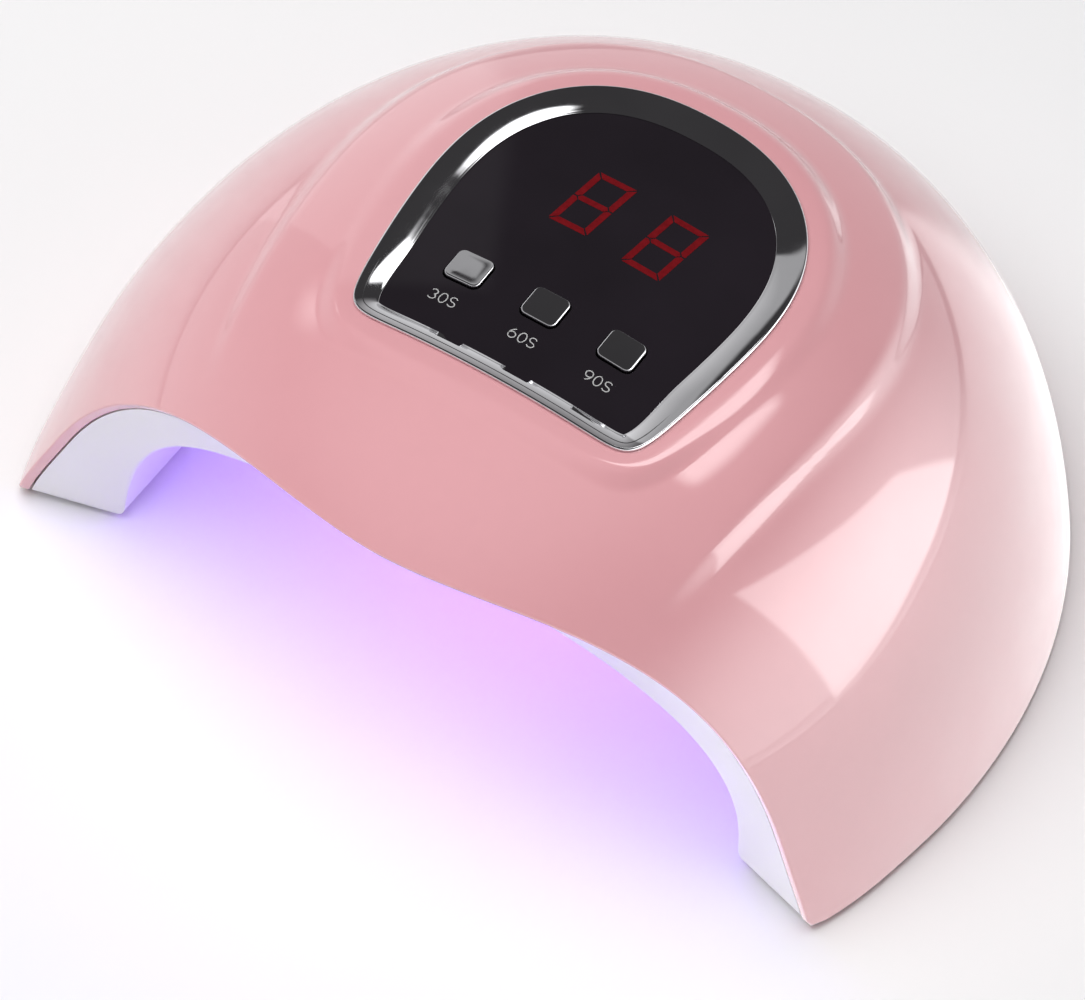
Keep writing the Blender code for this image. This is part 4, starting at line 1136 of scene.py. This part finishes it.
def dress_frame():
    """Every CAD node that still shows gets the procedural finish of its slot."""
    slots = {part["node"]: part["material_slot"] for part in frame["record"]["subparts"]}
    for name, node in frame["nodes"].items():
        material = MATERIALS[slots[name]]
        if not node.material_slots:
            node.data.materials.append(material)
        for slot in node.material_slots:
            slot.material = material


# ---------------- studio

def make_camera():
    """Long lens from the front right, 50 degrees above the horizon."""
    azimuth, elevation, roll = (math.radians(turn) for turn in CAMERA_TURNS)
    back = Vector((math.sin(azimuth) * math.cos(elevation), -math.cos(azimuth) * math.cos(elevation),
                   math.sin(elevation)))
    level = Vector((math.cos(azimuth), math.sin(azimuth), 0.0))
    upright = back.cross(level)
    right = level * math.cos(roll) + upright * math.sin(roll)
    up = upright * math.cos(roll) - level * math.sin(roll)
    aside, above = (offset / FOCAL_WIDTHS for offset in CAMERA_AIM)
    forward = (-back + right * aside + up * above).normalized()
    right = (right - forward * right.dot(forward)).normalized()
    up = right.cross(forward)
    camera = bpy.data.cameras.new("camera")
    camera.sensor_width = SENSOR_WIDTH
    camera.lens = SENSOR_WIDTH * FOCAL_WIDTHS
    camera.clip_start = 0.05
    camera.clip_end = 50.0
    obj = place_object("camera", camera)
    turn = Matrix((right, up, -forward)).transposed().to_4x4()
    obj.matrix_world = Matrix.Translation(Vector(CAMERA_TARGET) + back * CAMERA_DISTANCE) @ turn
    bpy.context.scene.camera = obj


def area_light(name, place, aim, width, height, watts, colour=(1.0, 1.0, 1.0)):
    """A light that itself shows in no reflection; the cards do that."""
    light = bpy.data.lights.new(name, "AREA")
    light.shape = "RECTANGLE"
    light.size = width
    light.size_y = height
    light.energy = watts
    light.color = colour
    obj = place_object(name, light)
    obj.location = place
    obj.rotation_mode = "QUATERNION"
    obj.rotation_quaternion = (Vector(aim) - Vector(place)).to_track_quat("-Z", "Y")
    obj.visible_glossy = False
    obj.visible_camera = False


def math_node(tree, operation, *values):
    node = tree.nodes.new("ShaderNodeMath")
    node.operation = operation
    for socket, value in zip(node.inputs, values):
        if isinstance(value, float):
            socket.default_value = value
        else:
            tree.links.new(value, socket)
    return node.outputs[0]


def make_softbox(name, corners, strength, border):
    """A glowing card that shows only in reflections, with a soft border."""
    mesh = bpy.data.meshes.new(name)
    mesh.from_pydata(corners, [], [(0, 1, 2, 3)])
    mesh.uv_layers.new(name="UVMap")
    for loop, uv in zip(mesh.uv_layers[0].data, ((0, 0), (1, 0), (1, 1), (0, 1))):
        loop.uv = uv
    material = bpy.data.materials.new(name)
    material.use_nodes = True
    tree = material.node_tree
    tree.nodes.clear()
    add = tree.nodes.new
    link = tree.links.new
    output = add("ShaderNodeOutputMaterial")
    glow = add("ShaderNodeEmission")
    place = add("ShaderNodeUVMap")
    split = add("ShaderNodeSeparateXYZ")
    link(place.outputs["UV"], split.inputs["Vector"])
    fades = []
    for axis in ("X", "Y"):
        fade = add("ShaderNodeMapRange")
        fade.interpolation_type = "SMOOTHSTEP"
        fade.inputs["From Max"].default_value = border
        link(math_node(tree, "PINGPONG", split.outputs[axis], 0.5), fade.inputs["Value"])
        fades.append(fade.outputs["Result"])
    shape = math_node(tree, "MULTIPLY", *fades)
    link(math_node(tree, "MULTIPLY", shape, strength), glow.inputs["Strength"])
    clear = add("ShaderNodeBsdfTransparent")
    blend = add("ShaderNodeAddShader")
    link(glow.outputs[0], blend.inputs[0])
    link(clear.outputs[0], blend.inputs[1])
    link(blend.outputs[0], output.inputs["Surface"])
    mesh.materials.append(material)
    obj = place_object(name, mesh)
    obj.visible_camera = False
    obj.visible_diffuse = False
    obj.visible_shadow = False
    obj.visible_transmission = False


def make_floor():
    size = 3.0
    mesh = bpy.data.meshes.new("studio_floor")
    corners = [(x * size, y * size, 0.0) for x, y in ((-1, -1), (1, -1), (1, 1), (-1, 1))]
    mesh.from_pydata(corners, [], [(0, 1, 2, 3)])
    floor = place_object("studio_floor", mesh)
    tone = (6.0, 3.0, (0.86, 0.86, 0.865), (0.88, 0.88, 0.885))
    finish = plain_finish("pale studio floor", tone, (40.0, 3.0, 0.85, 0.95))
    finish.set(Specular_IOR_Level=0.1)
    mesh.materials.append(finish.material)


def make_world():
    """A studio that is bright near the horizon and darker overhead."""
    world = bpy.data.worlds.new("studio")
    bpy.context.scene.world = world
    world.use_nodes = True
    tree = world.node_tree
    background = tree.nodes["Background"]
    place = tree.nodes.new("ShaderNodeTexCoord")
    split = tree.nodes.new("ShaderNodeSeparateXYZ")
    tree.links.new(place.outputs["Generated"], split.inputs["Vector"])
    stops = [(0.0, (0.80, 0.80, 0.81)), (0.30, (0.42, 0.41, 0.415)), (0.60, (0.045, 0.043, 0.045))]
    tree.links.new(colour_ramp(tree, split.outputs["Z"], stops), background.inputs["Color"])


def make_studio():
    make_camera()
    make_floor()
    make_world()
    bpy.context.scene.view_settings.view_transform = "Standard"
    centre = (0.0, -0.03, 0.04)
    area_light("overhead", (-0.25, -0.35, 1.5), centre, 1.6, 1.6, 30.0)
    area_light("right_fill", (1.1, 0.1, 0.75), centre, 0.8, 0.8, 0.6)
    area_light("cavity_glow", (0.0, -0.03, 0.052), (0.0, -0.04, 0.0), 0.10, 0.09, 0.085, (0.37, 0.15, 1.0))
    for name, corners, strength, border in CARDS:
        make_softbox(name, corners, strength, border)


# ---------------- assembly

def build():
    rim = rim_loop(LIP_COLUMNS, GROUND_COLUMNS)
    screws, feet = fixing_columns()
    dress_frame()
    make_shell(rim, screws)
    make_liner(rim, screws)
    make_bezel()
    make_panel()
    make_display()
    for name, x in zip(BUTTON_NAMES, (-BUTTON_SPACING, 0.0, BUTTON_SPACING)):
        make_button(name, x)
    make_beads()
    make_inlet()
    make_screws(screws)
    make_feet(feet)
    make_sensor()
    make_studio()


build()
